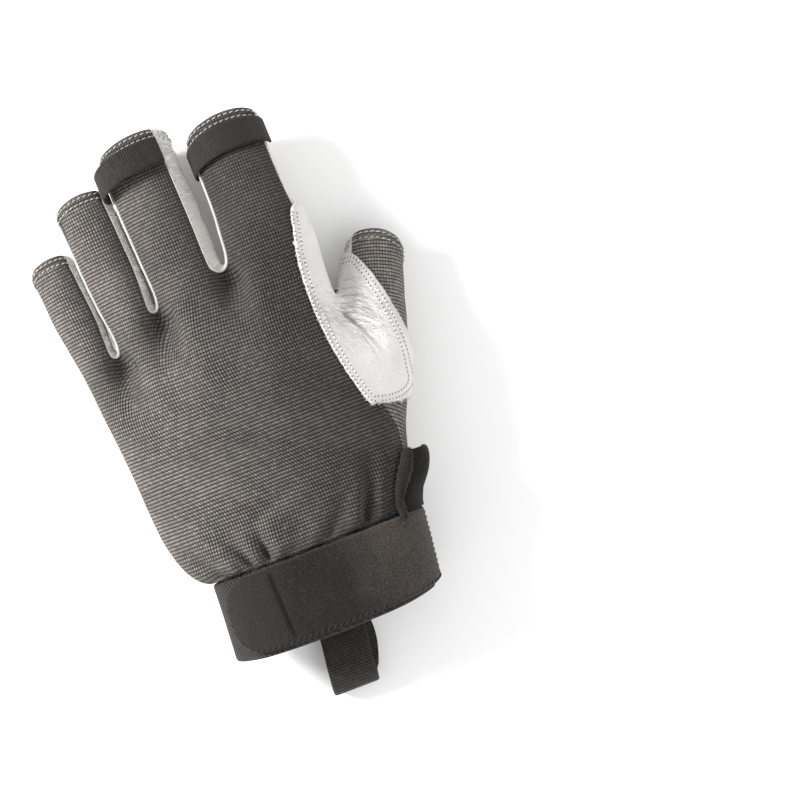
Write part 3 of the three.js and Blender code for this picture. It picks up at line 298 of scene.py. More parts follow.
class Cage:
    """The glove's outside as points and four-sided faces, each face with its panel, and the
    weave's own coordinates at each point: across the hand and along it, in millimetres."""

    def __init__(self):
        self.points, self.faces, self.weave = [], [], {}
        self.index = len(FINGERS) - 1
        self.places = self.make_places()
        self.hand_rings = self.make_hand()
        self.finger_rings = self.make_fingers()
        self.make_crotches()
        self.make_thumb()
        self.neighbours = [set() for _ in self.points]
        for _, corners in self.faces:
            for i, point in enumerate(corners):
                self.neighbours[point] |= {corners[(i + 1) % 4], corners[(i + 3) % 4]}
        last = self.hand_rings[-1]
        self.relax([i for i in self.around(self.hole, 2) if i not in self.hand_rings[0]], 5)
        self.relax(list(dict.fromkeys(i for ring in self.thumb_rings[:4] for i in ring)), 7)
        self.relax([i for i in self.around(self.hand_rings[-3], 2) if i not in last], 3)
        self.relax(self.around(last, 1), 1)
        for point in self.points:
            point.z = max(point.z, 0)
        self.normals = [Vector() for _ in self.points]
        for _, (a, b, c, d) in self.faces:
            normal = (self.points[c] - self.points[a]).cross(self.points[d] - self.points[b])
            for i in (a, b, c, d):
                self.normals[i] += normal
        for normal in self.normals:
            normal.normalize()
        self.lay_weave()

    def add(self, point):
        self.points.append(point)
        return len(self.points) - 1

    def make_places(self):
        """The places round the hand: across the back, down the thumb side, across the palm, up."""
        places = []

        def take(zone, fingers, angles, mix=0.0):
            places.append(dict(zone=zone, fingers=fingers, angles=angles, mix=mix))

        for k, finger in enumerate(FINGERS):
            for angle in spread(finger["back_ulnar"], finger["back_radial"], TOP):
                take("back", [k], [angle])
            if k < self.index:
                take("back", [k, k + 1], [finger["back_radial"], FINGERS[k + 1]["back_ulnar"]], 1 / WEB)
        outer = FINGERS[self.index]
        for angle in spread(outer["back_radial"], outer["palm_radial"], RADIAL)[1:-1]:
            take("radial", [self.index], [angle])
        for k in reversed(range(len(FINGERS))):
            finger = FINGERS[k]
            for angle in spread(finger["palm_radial"], finger["palm_ulnar"], TOP):
                take("palm", [k], [angle])
            if k > 0:
                take("palm", [k, k - 1], [finger["palm_ulnar"], FINGERS[k - 1]["palm_radial"]], 1 / WEB)
        first = FINGERS[0]
        for angle in spread(first["palm_ulnar"], first["back_ulnar"] - 360, SIDE)[1:-1]:
            take("ulnar", [0], [angle])
        for place in places:
            ends = [finger_point(FINGERS[k], 0, a) for k, a in zip(place["fingers"], place["angles"])]
            knuckle = ends[0]
            if len(ends) == 2:
                knuckle = ends[0].lerp(ends[1], place["mix"])
                knuckle.y -= WEB_SAG
            place["knuckle"] = knuckle
        return places

    def hand_angle(self, place, share):
        """A place's angle on the hand: even at the wrist, by the fingers' widths at the knuckles."""
        back_seam = column(HAND_SECTIONS, "back_seam", "along", share)
        palm_seam = column(HAND_SECTIONS, "palm_seam", "along", share)
        low, high = {"back": (ULNAR_BACK, back_seam), "radial": (back_seam, palm_seam),
                     "palm": (palm_seam, ULNAR_PALM), "ulnar": (ULNAR_PALM, ULNAR_BACK - 360)}[place["zone"]]
        row = [p for p in self.places if p["zone"] == place["zone"]]
        order = row.index(place)
        if place["zone"] in ("radial", "ulnar"):
            return lerp(low, high, (order + 1) / (len(row) + 1))
        first, last = row[0]["knuckle"].x, row[-1]["knuckle"].x
        across = 2 * (place["knuckle"].x - first) / (last - first) - 1
        matched = math.acos(clamp(-across, -1, 1)) / math.pi
        return lerp(low, high, lerp(order / (len(row) - 1), matched, ease(share, .1, 1)))

    def zone_after(self, i):
        """The zone of the faces between a place and the next one."""
        zone, after = self.places[i]["zone"], self.places[(i + 1) % len(self.places)]["zone"]
        return zone if zone == after else next(z for z in (zone, after) if z in ("radial", "ulnar"))

    def make_hand(self):
        """Rings of points from the cuff to the knuckles, and their faces but the thumb's hole."""
        rings = []
        for share in HAND_STATIONS:
            ring = []
            for place in self.places:
                point = hand_point(share, self.hand_angle(place, share))
                point = point.lerp(place["knuckle"], ease(share, KNUCKLE_BLEND, 1))
                point.y = share * place["knuckle"].y
                ring.append(self.add(point))
            rings.append(ring)
        count = len(self.places)
        for s in range(len(HAND_STATIONS) - 1):
            for i in range(count):
                zone, j = self.zone_after(i), (i + 1) % count
                if zone == "radial" and THUMB_FROM <= s < THUMB_TO:
                    continue
                panel = {"back": "back_panel", "palm": "palm_panel", "ulnar": "palm_panel",
                         "radial": "thumb_panel" if s < THUMB_FROM else "palm_panel"}[zone]
                self.faces.append((panel, (rings[s][i], rings[s][j], rings[s + 1][j], rings[s + 1][i])))
        return rings

    def radial_steps(self, k):
        """How many faces a finger's thumb side is wide."""
        return RADIAL if k == self.index else SIDE

    @staticmethod
    def order(ring):
        """A finger ring's points in one row, from the back round to the back."""
        return ring["back"] + ring["radial"] + ring["palm"] + ring["ulnar"]

    def make_fingers(self):
        """Rings of points along each finger, and the faces between them."""
        last, all_rings = self.hand_rings[-1], []
        for k, finger in enumerate(FINGERS):
            radial = self.radial_steps(k)
            angles = {
                "back": spread(finger["back_ulnar"], finger["back_radial"], TOP),
                "radial": spread(finger["back_radial"], finger["palm_radial"], radial)[1:-1],
                "palm": spread(finger["palm_radial"], finger["palm_ulnar"], TOP),
                "ulnar": spread(finger["palm_ulnar"], finger["back_ulnar"] - 360, SIDE)[1:-1],
            }
            rings = []
            for share in FINGER_STATIONS:
                ring = {}
                for zone, zone_angles in angles.items():
                    own = (zone in ("back", "palm") or (zone == "radial" and k == self.index)
                           or (zone == "ulnar" and k == 0))
                    if share == 0 and own:
                        ring[zone] = [last[i] for i, p in enumerate(self.places)
                                      if p["zone"] == zone and p["fingers"] == [k]]
                    else:
                        ring[zone] = [self.add(finger_point(finger, share, a)) for a in zone_angles]
                rings.append(ring)
            all_rings.append(rings)
        for k, rings in enumerate(all_rings):
            radial = self.radial_steps(k)
            for near_ring, far_ring in zip(rings, rings[1:]):
                near, far = self.order(near_ring), self.order(far_ring)
                for i in range(len(near)):
                    j = (i + 1) % len(near)
                    if i < TOP:
                        panel = "back_panel"
                    elif i < TOP + radial:
                        panel = "palm_panel" if k == self.index else self.crotch_name(k)
                    elif i < 2 * TOP + radial:
                        panel = "palm_panel"
                    else:
                        panel = "palm_panel" if k == 0 else self.crotch_name(k - 1)
                    self.faces.append((panel, (near[i], near[j], far[j], far[i])))
        return all_rings

    @staticmethod
    def crotch_name(k):
        """The sidewall's name between a finger and the next one."""
        return f"sidewall_{FINGERS[k]['name']}_{FINGERS[k + 1]['name']}"

    def make_crotches(self):
        """The saddle between each two fingers, from the back edge to the palm edge."""
        last = self.hand_rings[-1]

        def web_ids(zone, pair):
            return [last[i] for i, p in enumerate(self.places) if p["zone"] == zone
                    and len(p["fingers"]) == 2 and set(p["fingers"]) == pair]

        for k in range(self.index):
            left, right = self.finger_rings[k][0], self.finger_rings[k + 1][0]
            left_column = [left["back"][TOP], *left["radial"], left["palm"][0]]
            right_column = [right["back"][0], *reversed(right["ulnar"]), right["palm"][TOP]]
            top_row, bottom_row = web_ids("back", {k, k + 1}), web_ids("palm", {k, k + 1})[::-1]
            grid = []
            for r, (a, b) in enumerate(zip(left_column, right_column)):
                inner = []
                for w in range(WEB - 1):
                    if r in (0, SIDE):
                        inner.append((top_row if r == 0 else bottom_row)[w])
                        continue
                    point = self.points[a].lerp(self.points[b], (w + 1) / WEB)
                    point.y -= 1.6 * WEB_SAG
                    inner.append(self.add(point))
                grid.append([a, *inner, b])
            for r in range(SIDE):
                for w in range(WEB):
                    self.faces.append((self.crotch_name(k), (
                        grid[r][w], grid[r][w + 1], grid[r + 1][w + 1], grid[r + 1][w])))

    def make_thumb(self):
        """The thumb leaves through the hole in the thumb side of the hand."""
        start = next(i for i, p in enumerate(self.places) if p["zone"] == "radial") - 1
        self.radial_from = start
        rings = self.hand_rings

        def hole_column(i):
            return [rings[s][i] for s in range(THUMB_FROM, THUMB_TO + 1)]

        self.hole = (hole_column(start)[::-1][:-1] + rings[THUMB_FROM][start:start + RADIAL]
                     + hole_column(start + RADIAL)[:-1]
                     + rings[THUMB_TO][start:start + RADIAL + 1][::-1][:-1])
        self.thumb_back = THUMB_TO - THUMB_FROM
        step = 360 / len(self.hole)
        self.thumb_rings = []
        for share in THUMB_STATIONS:
            if share == 0:
                self.thumb_rings.append(list(self.hole))
                continue
            ring, blend = [], ease(share, 0, .5)
            for i, point in enumerate(self.hole):
                from_point = self.points[point]
                begin = clamp((from_point - THUMB_ROOT).dot(THUMB_WAY) / THUMB_WAY.length_squared, -.2, .7)
                angle = 90 + step * (self.thumb_back / 2 - i)
                ring.append(self.add(from_point.lerp(thumb_point(lerp(begin, 1, share), angle), blend)))
            self.thumb_rings.append(ring)
        for near, far in zip(self.thumb_rings, self.thumb_rings[1:]):
            for i in range(len(near)):
                j = (i + 1) % len(near)
                panel = "thumb_panel" if i < self.thumb_back + RADIAL else "palm_panel"
                self.faces.append((panel, (near[i], near[j], far[j], far[i])))

    def relax(self, ids, times):
        """Moves points half way to the middle of their neighbours, so many times."""
        for _ in range(times):
            moved = [self.points[i].lerp(self.middle_of(i, self.points), .5) for i in ids]
            for i, point in zip(ids, moved):
                self.points[i] = point

    def middle_of(self, i, points):
        """The middle of a point's neighbours."""
        near = self.neighbours[i]
        return sum((points[n] for n in near), Vector()) / len(near) if near else points[i]

    def around(self, ids, steps):
        """Points within so many steps of the given ones."""
        found = dict.fromkeys(ids)
        for _ in range(steps):
            for i in list(found):
                found.update(dict.fromkeys(self.neighbours[i]))
        return list(found)

    def lay_weave(self):
        """Weave coordinates of the back: arc length across from the middle finger's line, and along."""
        back = [i for i, p in enumerate(self.places) if p["zone"] == "back"]
        centre = next(i for i in back if self.places[i]["fingers"] == [2]) + TOP // 2
        for ring in self.hand_rings:
            across = {centre: 0.0}
            for way in (1, -1):
                i = centre
                while i + way in back:
                    step = (self.points[ring[i + way]] - self.points[ring[i]]).length
                    across[i + way] = across[i] + way * step
                    i += way
            for i in back:
                self.weave[ring[i]] = (across[i], self.points[ring[i]].y)
        for k, rings in enumerate(self.finger_rings):
            middle = TOP // 2
            before = rings[0]["back"]
            u0, v0 = self.weave[before[middle]]
            lean = math.atan2((FINGERS[k]["tip_x"] - FINGERS[k]["base_x"]) * WIDTH,
                              FINGERS[k]["length"] * LENGTH)
            for share, ring in list(zip(FINGER_STATIONS, rings))[1:]:
                row = ring["back"]
                v0 += (self.points[row[middle]] - self.points[before[middle]]).length
                heading = Vector((math.sin(lean * share), math.cos(lean * share), 0))
                u = {middle: u0}
                for way in (1, -1):
                    i = middle
                    while 0 <= i + way < len(row):
                        u[i + way] = u[i] + way * (self.points[row[i + way]] - self.points[row[i]]).length
                        i += way
                for i, point in enumerate(row):
                    along = v0 + (self.points[point] - self.points[row[middle]]).dot(heading)
                    self.weave[point] = (u[i], along)
                before = row


cage = Cage()


def placed(point):
    """A point in millimetres from the cuff seam, as metres in the shared frame."""
    return (point + MIDDLE) * MM


# Sizes and colours that a user would change

def length_prop(name, default_mm, description):
    """A length that a user can change, given in millimetres."""
    return bpy.props.FloatProperty(name=name, description=description, default=default_mm * MM,
                                   min=0.0, subtype="DISTANCE", unit="LENGTH", precision=5)


def colour_prop(name, default, description):
    """A colour that a user can change."""
    return bpy.props.FloatVectorProperty(name=name, description=description, default=default, size=3,
                                         min=0.0, max=1.0, subtype="COLOR")


class GloveSizes(bpy.types.PropertyGroup):
    row_pitch: length_prop("Row pitch", 1.28, "Distance between the woven rows across the hand")
    column_pitch: length_prop("Column pitch", 1.04, "Distance between the lengthwise threads")
    web_rib: length_prop("Webbing rib", 0.78, "Distance between the ribs of the webbing")
    knit_rib: length_prop("Knit rib", 1.9, "Distance between the slanted ribs of the cuff")
    stitch: length_prop("Stitch", 1.55, "Length of one stitch")
    stitch_pitch: length_prop("Stitch pitch", 2.25, "Distance from one stitch to the next")
    thread: length_prop("Thread", 0.46, "Thickness of the sewing thread")
    edge_roll: length_prop("Edge roll", 0.62, "Radius of the rolled leather edge between the fingers")
    valley: length_prop("Valley", 4.2, "Depth of the soft valley that runs back from each crotch")
    crease: length_prop("Crease", 0.42, "Depth of the creases of the leather")


class GloveColours(bpy.types.PropertyGroup):
    fabric: colour_prop("Fabric", (0.103, 0.0925, 0.0848), "Raised threads of the back")
    fabric_gap: colour_prop("Fabric gaps", (0.0085, 0.0073, 0.0066), "Between the threads")
    leather: colour_prop("Leather", (0.71, 0.692, 0.668), "Palm leather")
    patch: colour_prop("Patch", (0.71, 0.703, 0.692), "Reinforcing patch")
    # The rolled edge is the sidewall's leather painted darker: painted shade that tempers the light its round
    # rim catches
    rolled: colour_prop("Rolled edge", (0.54, 0.525, 0.503), "Rolled leather edge between two fingers")
    suede: colour_prop("Suede", (0.20, 0.19, 0.18), "Flesh side of the leather")
    webbing: colour_prop("Webbing", (0.0165, 0.0145, 0.0132), "Tabs over the fingers")
    loop: colour_prop("Loop", (0.029, 0.0262, 0.0238), "Wrist loop")
    knit: colour_prop("Knit", (0.023, 0.0202, 0.0186), "Cuff band")
    felt: colour_prop("Felt", (0.0150, 0.0134, 0.0122), "Closure strap")
    thread: colour_prop("Thread", (0.43, 0.41, 0.385), "Light sewing thread")
    hole: colour_prop("Needle hole", (0.050, 0.045, 0.041), "Shade in the holes of the seams")
    webbing_light: colour_prop("Strap end thread", (0.13, 0.118, 0.107), "Thread at the end of the strap")
    dark_thread: colour_prop("Dark thread", (0.0175, 0.0156, 0.0142), "Thread of the cuff and strap")


def sizes():
    """The scene's sizes for the glove, in metres."""
    return bpy.context.scene.glove_sizes


def colours():
    """The scene's colours for the glove."""
    return bpy.context.scene.glove_colours


# Shader helpers

class Signal:
    """A socket of a shader tree, which is added and multiplied like a number."""

    def __init__(self, shade, socket):
        self.shade, self.socket = shade, socket

    def math(self, operation, other=0.0):
        """The signal after one operation of the Math node."""
        return self.shade.node("ShaderNodeMath", {0: self, 1: other}, operation=operation)

    def __add__(self, other):
        return self.math("ADD", other)

    def __sub__(self, other):
        return self.math("SUBTRACT", other)

    def __rsub__(self, other):
        return self.math("MULTIPLY", -1.0).math("ADD", other)

    def __mul__(self, other):
        return self.math("MULTIPLY", other)

    def __truediv__(self, other):
        return self.math("DIVIDE", other)

    def ramp(self, low, high, to_low=0.0, to_high=1.0):
        """A smooth step from one value to another as the signal goes from low to high."""
        return self.shade.node("ShaderNodeMapRange", {0: self, 1: low, 2: high, 3: to_low, 4: to_high},
                               interpolation_type="SMOOTHSTEP")

    def ridges(self, sharpness):
        """Rounded ridges, one for each whole number of the signal."""
        return (self * math.pi).math("SINE").math("ABSOLUTE").math("POWER", sharpness)

    def stretch(self, scale):
        """A vector with each of its parts multiplied."""
        return self.shade.node("ShaderNodeVectorMath", {0: self, 1: scale}, operation="MULTIPLY")

    def split(self):
        """The first two parts of a vector."""
        parts = self.shade.node("ShaderNodeSeparateXYZ", {0: self}).socket.node.outputs
        return Signal(self.shade, parts[0]), Signal(self.shade, parts[1])


class Shade:
    """Builds the nodes of one shader tree."""

    def __init__(self, tree):
        self.tree = tree

    def feed(self, value, socket):
        """Joins a signal to a socket, or sets the socket to a plain value."""
        if isinstance(value, Signal):
            self.tree.links.new(value.socket, socket)
        else:
            socket.default_value = (*value, 1) if socket.type == "RGBA" else value

    def node(self, kind, inputs, output=0, **settings):
        """A new node of that kind, given as the signal of one of its outputs."""
        made = self.tree.nodes.new(kind)
        for name, value in settings.items():
            setattr(made, name, value)
        for key, value in inputs.items():
            self.feed(value, made.inputs[key])
        return Signal(self, made.outputs[output])

    def group(self, tree, inputs):
        """A placed node group, as its output signals by name."""
        made = self.tree.nodes.new("ShaderNodeGroup")
        made.node_tree = tree
        for key, value in inputs.items():
            self.feed(value, made.inputs[key])
        return {socket.name: Signal(self, socket) for socket in made.outputs}

    def noise(self, vector, scale, detail=2.0, roughness=0.5, output="Fac"):
        """Smooth noise from 0 to 1 over a vector."""
        return self.node("ShaderNodeTexNoise", {
            "Vector": vector, "Scale": scale, "Detail": detail, "Roughness": roughness}, output)

    def mix(self, factor, a, b, blend="MIX"):
        """A colour between a and b, or b blended over a."""
        return self.node("ShaderNodeMix", {0: factor, 6: a, 7: b}, 2, data_type="RGBA", blend_type=blend)

    def join(self, x, y, z=0.0):
        """A vector from its parts."""
        return self.node("ShaderNodeCombineXYZ", {0: x, 1: y, 2: z})

    def cell_chance(self, x, y):
        """A random value for each cell of a net."""
        cell = self.join(x.math("FLOOR"), y.math("FLOOR"))
        return self.node("ShaderNodeTexWhiteNoise", {"Vector": cell}, noise_dimensions="3D")

    def place(self):
        """Where the point is on the object, in metres."""
        return self.node("ShaderNodeTexCoord", {}, "Object")

    def weave(self):
        """The piece's own laid-out cloth coordinates."""
        return self.node("ShaderNodeUVMap", {}, uv_map="weave")

    def mask(self, name):
        """One of the piece's own masks: edge, hem, fold (where shade is painted), creased or plain."""
        return self.node("ShaderNodeAttribute", {}, "Fac", attribute_name=name)


def toned(colour, share):
    """A colour made darker or lighter, by one share or by one for each channel."""
    shares = share if isinstance(share, tuple) else (share,) * 3
    return tuple(min(1.0, c * k) for c, k in zip(colour, shares))


def node_group(name, inputs, outputs, build):
    """A shader node group, made once. Inputs without a default are vectors."""
    if name in bpy.data.node_groups:
        return bpy.data.node_groups[name]
    group = bpy.data.node_groups.new(name, "ShaderNodeTree")
    for label, default in inputs.items():
        kind = "NodeSocketVector" if default is None else "NodeSocketFloat"
        socket = group.interface.new_socket(label, in_out="INPUT", socket_type=kind)
        if default is not None:
            socket.default_value = default
    for label in outputs:
        group.interface.new_socket(label, in_out="OUTPUT", socket_type="NodeSocketFloat")
    shade = Shade(group)
    given = {socket.name: Signal(shade, socket) for socket in group.nodes.new("NodeGroupInput").outputs}
    made = build(shade, given)
    end = group.nodes.new("NodeGroupOutput")
    for label in outputs:
        shade.feed(made[label], end.inputs[label])
    return group


def woven_rows():
    """Rows of raised threads, parted into beads by the lengthwise threads that bind them."""
    def build(s, given):
        vector = given["Vector"]
        fine = s.noise(vector, 900.0, 1.0) - 0.5
        slow = s.noise(vector, 45.0) - 0.5
        across, along = vector.split()
        row = along / given["Row"] + slow * 0.5 + fine * 0.12
        thread = across / given["Column"] + slow * 0.8 + fine * 0.2
        nick = given["Nick"] * s.noise(vector, 42.0).ramp(0.32, 0.68, 0.5, 1.0)
        nicked = row.ridges(0.75) * (1.0 - nick * (1.0 - thread.ridges(0.85)))
        chance = s.cell_chance(thread, row)
        fibre = s.noise(vector.stretch((0.4, 1.0, 1.0)), 5200.0, 2.0, 0.7)
        return {"Height": nicked + fibre * 0.12, "Thread": nicked,
                "Tone": chance * 0.22 + fibre * 0.78, "Chance": chance}

    return node_group("woven_rows", {"Vector": None, "Row": 0.00128, "Column": 0.00104, "Nick": 0.5},
                      ("Height", "Thread", "Tone", "Chance"), build)


def leather_grain():
    """Fine pebbled grain with pores, thin wrinkles along a stretched vector and broad shading."""
    def build(s, given):
        scaled = s.node("ShaderNodeVectorMath", {0: given["Vector"], 3: given["Scale"]}, operation="SCALE")
        warp = s.noise(scaled, 260.0, 1.0, output="Color")
        warp = s.node("ShaderNodeVectorMath", {0: warp, 1: (0.5, 0.5, 0.5)}, operation="SUBTRACT")
        moved = s.node("ShaderNodeVectorMath", {0: scaled, 1: warp.stretch((0.0016, 0.0016, 0.0016))},
                       operation="ADD")
        pebble = s.node("ShaderNodeTexVoronoi", {"Vector": moved, "Scale": 1150.0}, "Distance",
                        feature="DISTANCE_TO_EDGE").ramp(0.0, 0.22)
        fine = s.noise(moved, 3200.0, 2.0, 0.6)
        broad = s.noise(scaled, 55.0, 3.0, 0.55)
        long_lines = (s.noise(given["Wrinkle"], 1.0, 3.0, 0.6) - 0.5).math("ABSOLUTE").ramp(0.0, 0.036)
        short_lines = (s.noise(given["Wrinkle"], 2.7) - 0.47).math("ABSOLUTE").ramp(0.0, 0.022, 0.45, 1.0)
        line = long_lines.math("MINIMUM", short_lines)
        line = line.math("MAXIMUM", broad.ramp(0.36, 0.62, 0.0, 0.75)).math("MAXIMUM", 1.0 - given["Mask"])
        return {"Height": pebble * 0.22 + fine * 0.16 + line * given["Creases"],
                "Pores": pebble, "Lines": line, "Broad": broad, "Fine": fine}

    return node_group("leather_grain",
                      {"Vector": None, "Wrinkle": None, "Mask": 1.0, "Scale": 1.0, "Creases": 0.5},
                      ("Height", "Pores", "Lines", "Broad", "Fine"), build)


def fine_ribs():
    """Even ribs with a twist of thread, for webbing and knitted bands. Vector is across, along."""
    def build(s, given):
        vector = given["Vector"]
        across, along = vector.split()
        rib = across / given["Pitch"] + (s.noise(vector, 700.0) - 0.5) * 0.14
        twist = along / given["Twist"] + rib * given["Slant"]
        fibre = s.noise(vector, 4800.0, 2.0, 0.7)
        raised = rib.ridges(0.6) * (twist.ridges(0.6) * 0.3 + 0.7)
        return {"Height": raised + fibre * 0.15, "Thread": raised,
                "Tone": s.cell_chance(rib, twist) * 0.2 + fibre * 0.8}

    return node_group("fine_ribs", {"Vector": None, "Pitch": 0.00062, "Twist": 0.0009, "Slant": 0.5},
                      ("Height", "Thread", "Tone"), build)


def new_material(name):
    """An empty material and the builder of its nodes."""
    material = bpy.data.materials.new(name)
    material.use_nodes = True
    return material, Shade(material.node_tree)


def finish_material(material, s, colour, roughness, height=None, depth=0.0, sheen=0.0, specular=0.5):
    """Joins colour, roughness and bump to the shader; plain numbers go on its own sockets."""
    shader = material.node_tree.nodes["Principled BSDF"]
    s.feed(colour, shader.inputs["Base Color"])
    s.feed(roughness, shader.inputs["Roughness"])
    shader.inputs["Sheen Weight"].default_value = sheen
    shader.inputs["Specular IOR Level"].default_value = specular
    if height:
        bump = s.node("ShaderNodeBump", {"Height": height, "Distance": depth, "Strength": 1.0})
        s.feed(bump, shader.inputs["Normal"])
    return material


def fabric_material(name, inside=False, tone=1.0, nick=0.9, even=False):
    """Stretch cloth; unless it is even, painted light makes it lighter toward the little finger's side."""
    material, s = new_material(name)
    rows = s.group(woven_rows(), {"Vector": s.weave(), "Row": sizes().row_pitch,
                                  "Column": sizes().column_pitch, "Nick": 0.3 if inside else nick})
    where = s.place()
    top = toned(colours().fabric, tone * (0.5 if inside else 1.0))
    bright = toned(top, 1.55)
    thread = s.mix(rows["Tone"].ramp(0.25, 0.8), toned(top, 0.7), bright)
    colour = s.mix(rows["Thread"].ramp(0.14, 0.8), tuple(colours().fabric_gap), thread)
    colour = s.mix(rows["Chance"].ramp(0.985, 0.99, 0.0, 0.3), colour, bright)
    # Painted light: lighter toward the little finger's side, where the light falls, darker toward the thumb's
    # side
    if not even:
        across = where.split()[0] + (s.noise(where, 19.0) - 0.5) * 0.05
        light = across.ramp(-0.054, 0.030, 1.75, 0.6)
        colour = s.mix(1.0, colour, s.join(light, light, light), "MULTIPLY")
    # Painted shade: darker in the pucker pits, beside the valleys and down the fingers' turned sides that the
    # fold mask marks
    colour = s.mix(s.mask("fold") * 0.82, colour, toned(top, 0.2))
    colour = s.mix(s.mask("edge").ramp(0.55, 0.95, 0.0, 0.8), colour, toned(top, 0.12))
    colour = s.mix(s.mask("hem") * 0.5, colour, toned(top, 0.35))
    return finish_material(material, s, colour, 0.88, rows["Height"], 0.0006, sheen=0.1, specular=0.15)


def leather_material(name, colour_name="leather", creases=0.5, scale=1.0, wrinkle=(70, 380, 150),
                     by_weave=False, depth=0.00034, mottle=1.0, rough=0.5, rim=1.12):
    """Leather whose thin wrinkles follow the object's axes, or the piece's own laid-out map."""
    material, s = new_material(name)
    where = s.place()
    grain = s.group(leather_grain(), {
        "Vector": where, "Wrinkle": (s.weave() if by_weave else where).stretch(wrinkle),
        "Mask": s.mask("creased"), "Scale": scale, "Creases": creases})
    base = tuple(getattr(colours(), colour_name))
    dark = toned(base, (0.5, 0.475, 0.45))
    colour = s.mix(grain["Broad"].ramp(0.3, 0.72, 0.0, mottle), base, toned(base, (0.84, 0.825, 0.805)))
    colour = s.mix(grain["Lines"].ramp(0.0, 1.0, 0.5 * min(1.0, creases), 0.0), colour, dark)
    colour = s.mix(grain["Pores"].ramp(0.0, 1.0, 0.12, 0.0), colour, dark)
    # Painted shade: darker where the fold mask marks a crease valley
    colour = s.mix(s.mask("fold") * 0.75, colour, toned(base, 0.42))
    nap = 0.4 if rim > 1 else s.noise(where, 1500.0).ramp(0.3, 0.7, 0.15, 1.0)
    colour = s.mix(s.mask("edge") * nap, colour, toned(base, rim))
    roughness = grain["Fine"].ramp(0.3, 0.7, rough, rough + 0.16)
    return finish_material(material, s, colour, roughness, grain["Height"], depth, specular=0.35)


def suede_material():
    """The leather's flesh side, made once."""
    name = "leather_flesh_side"
    if name in bpy.data.materials:
        return bpy.data.materials[name]
    material, s = new_material(name)
    where, base = s.place(), tuple(colours().suede)
    nap = s.noise(where, 2600.0, 3.0, 0.7)
    colour = s.mix(nap.ramp(0.3, 0.7), toned(base, 0.7), base)
    colour = s.mix(s.noise(where, 90.0).ramp(0.35, 0.7, 0.0, 0.3), colour, toned(base, 0.6))
    return finish_material(material, s, colour, 0.95, nap, 0.0003, sheen=0.3, specular=0.15)


def ribbed_material(name, colour_name, pitch, twist, slant, depth, gap, bright):
    """Webbing or knit, ribbed across its weave coordinates."""
    material, s = new_material(name)
    ribs = s.group(fine_ribs(), {"Vector": s.weave(), "Pitch": pitch, "Twist": twist, "Slant": slant})
    base = tuple(getattr(colours(), colour_name))
    thread = s.mix(ribs["Tone"].ramp(0.25, 0.8), toned(base, 0.7), toned(base, bright))
    colour = s.mix(ribs["Thread"].ramp(0.1, 0.8), toned(base, gap), thread)
    colour = s.mix(s.mask("edge") * 0.3, colour, toned(base, 2.2))
    plain = s.mask("plain")
    colour = s.mix(plain * 0.85, colour, toned(base, 0.75))
    height = ribs["Height"] * (1.0 - plain * 0.8)
    return finish_material(material, s, colour, 0.82, height, depth, sheen=0.08, specular=0.2)


def felt_material(name, tone=1.0, speck=0.7, toned_ends=False):
    """Brushed cloth with light specks; if asked, lighter toward the little finger's end and worn brown toward
    the thumb's end.
    """
    material, s = new_material(name)
    where, base = s.place(), toned(colours().felt, tone)
    nap = s.noise(where, 1900.0, 4.0, 0.75)
    tuft = s.noise(where, 700.0, 3.0, 0.65)
    cloud = s.noise(where, 45.0)
    colour = s.mix(nap.ramp(0.32, 0.72), toned(base, 0.4), toned(base, 1.9))
    colour = s.mix(tuft.ramp(0.45, 0.8, 0.0, 0.5), colour, toned(base, 0.75))
    colour = s.mix(s.noise(where, 2300.0, 1.0).ramp(0.64, 0.76, 0.0, speck), colour, (0.085, 0.074, 0.064))
    colour = s.mix(cloud.ramp(0.35, 0.7, 0.0, 0.35), colour, toned(base, 1.5))
    if toned_ends:
        across = where.split()[0] + (cloud - 0.5) * 0.02
        brown = s.mix(nap.ramp(0.35, 0.68), (0.028, 0.0238, 0.021), (0.094, 0.081, 0.071))
        # Lighter toward the little finger's end; worn brown toward the thumb's end
        colour = s.mix(across.ramp(-0.034, -0.010, 0.4, 0.0), colour, toned(base, 2.0))
        colour = s.mix(across.ramp(0.002, 0.028, 0.0, 0.95), colour, brown)
    # Painted shade: darker along the crease that the fold mask marks
    colour = s.mix(s.mask("fold") * 0.7, colour, toned(base, 0.2))
    colour = s.mix(s.mask("edge") * 0.25, colour, toned(base, 2.0))
    return finish_material(material, s, colour, 0.97, nap + tuft * 0.8, 0.00032, sheen=0.1, specular=0.1)


def thread_material(name, colour_name):
    """Twisted sewing thread, made once for each name."""
    if name in bpy.data.materials:
        return bpy.data.materials[name]
    material, s = new_material(name)
    base = tuple(getattr(colours(), colour_name))
    twist = s.noise(s.place(), 4200.0, 2.0, 0.6)
    colour = s.mix(twist.ramp(0.3, 0.7), toned(base, 0.6), toned(base, 1.35))
    return finish_material(material, s, colour, 0.7, twist, 0.00012, sheen=0.1, specular=0.3)


# Mesh helpers

def select_only(obj):
    """Selects one object and makes it the active one."""
    bpy.ops.object.select_all(action="DESELECT")
    obj.select_set(True)
    bpy.context.view_layer.objects.active = obj


def apply_modifiers(obj):
    """Applies an object's modifiers in their order."""
    select_only(obj)
    for modifier in list(obj.modifiers):
        bpy.ops.object.modifier_apply(modifier=modifier.name)


def subdivide(obj, levels, corners=True):
    """Smooths a mesh; its open corners stay sharp if asked."""
    smooth = obj.modifiers.new("smooth", "SUBSURF")
    smooth.levels = smooth.render_levels = levels
    if corners:
        smooth.boundary_smooth = "PRESERVE_CORNERS"
    apply_modifiers(obj)


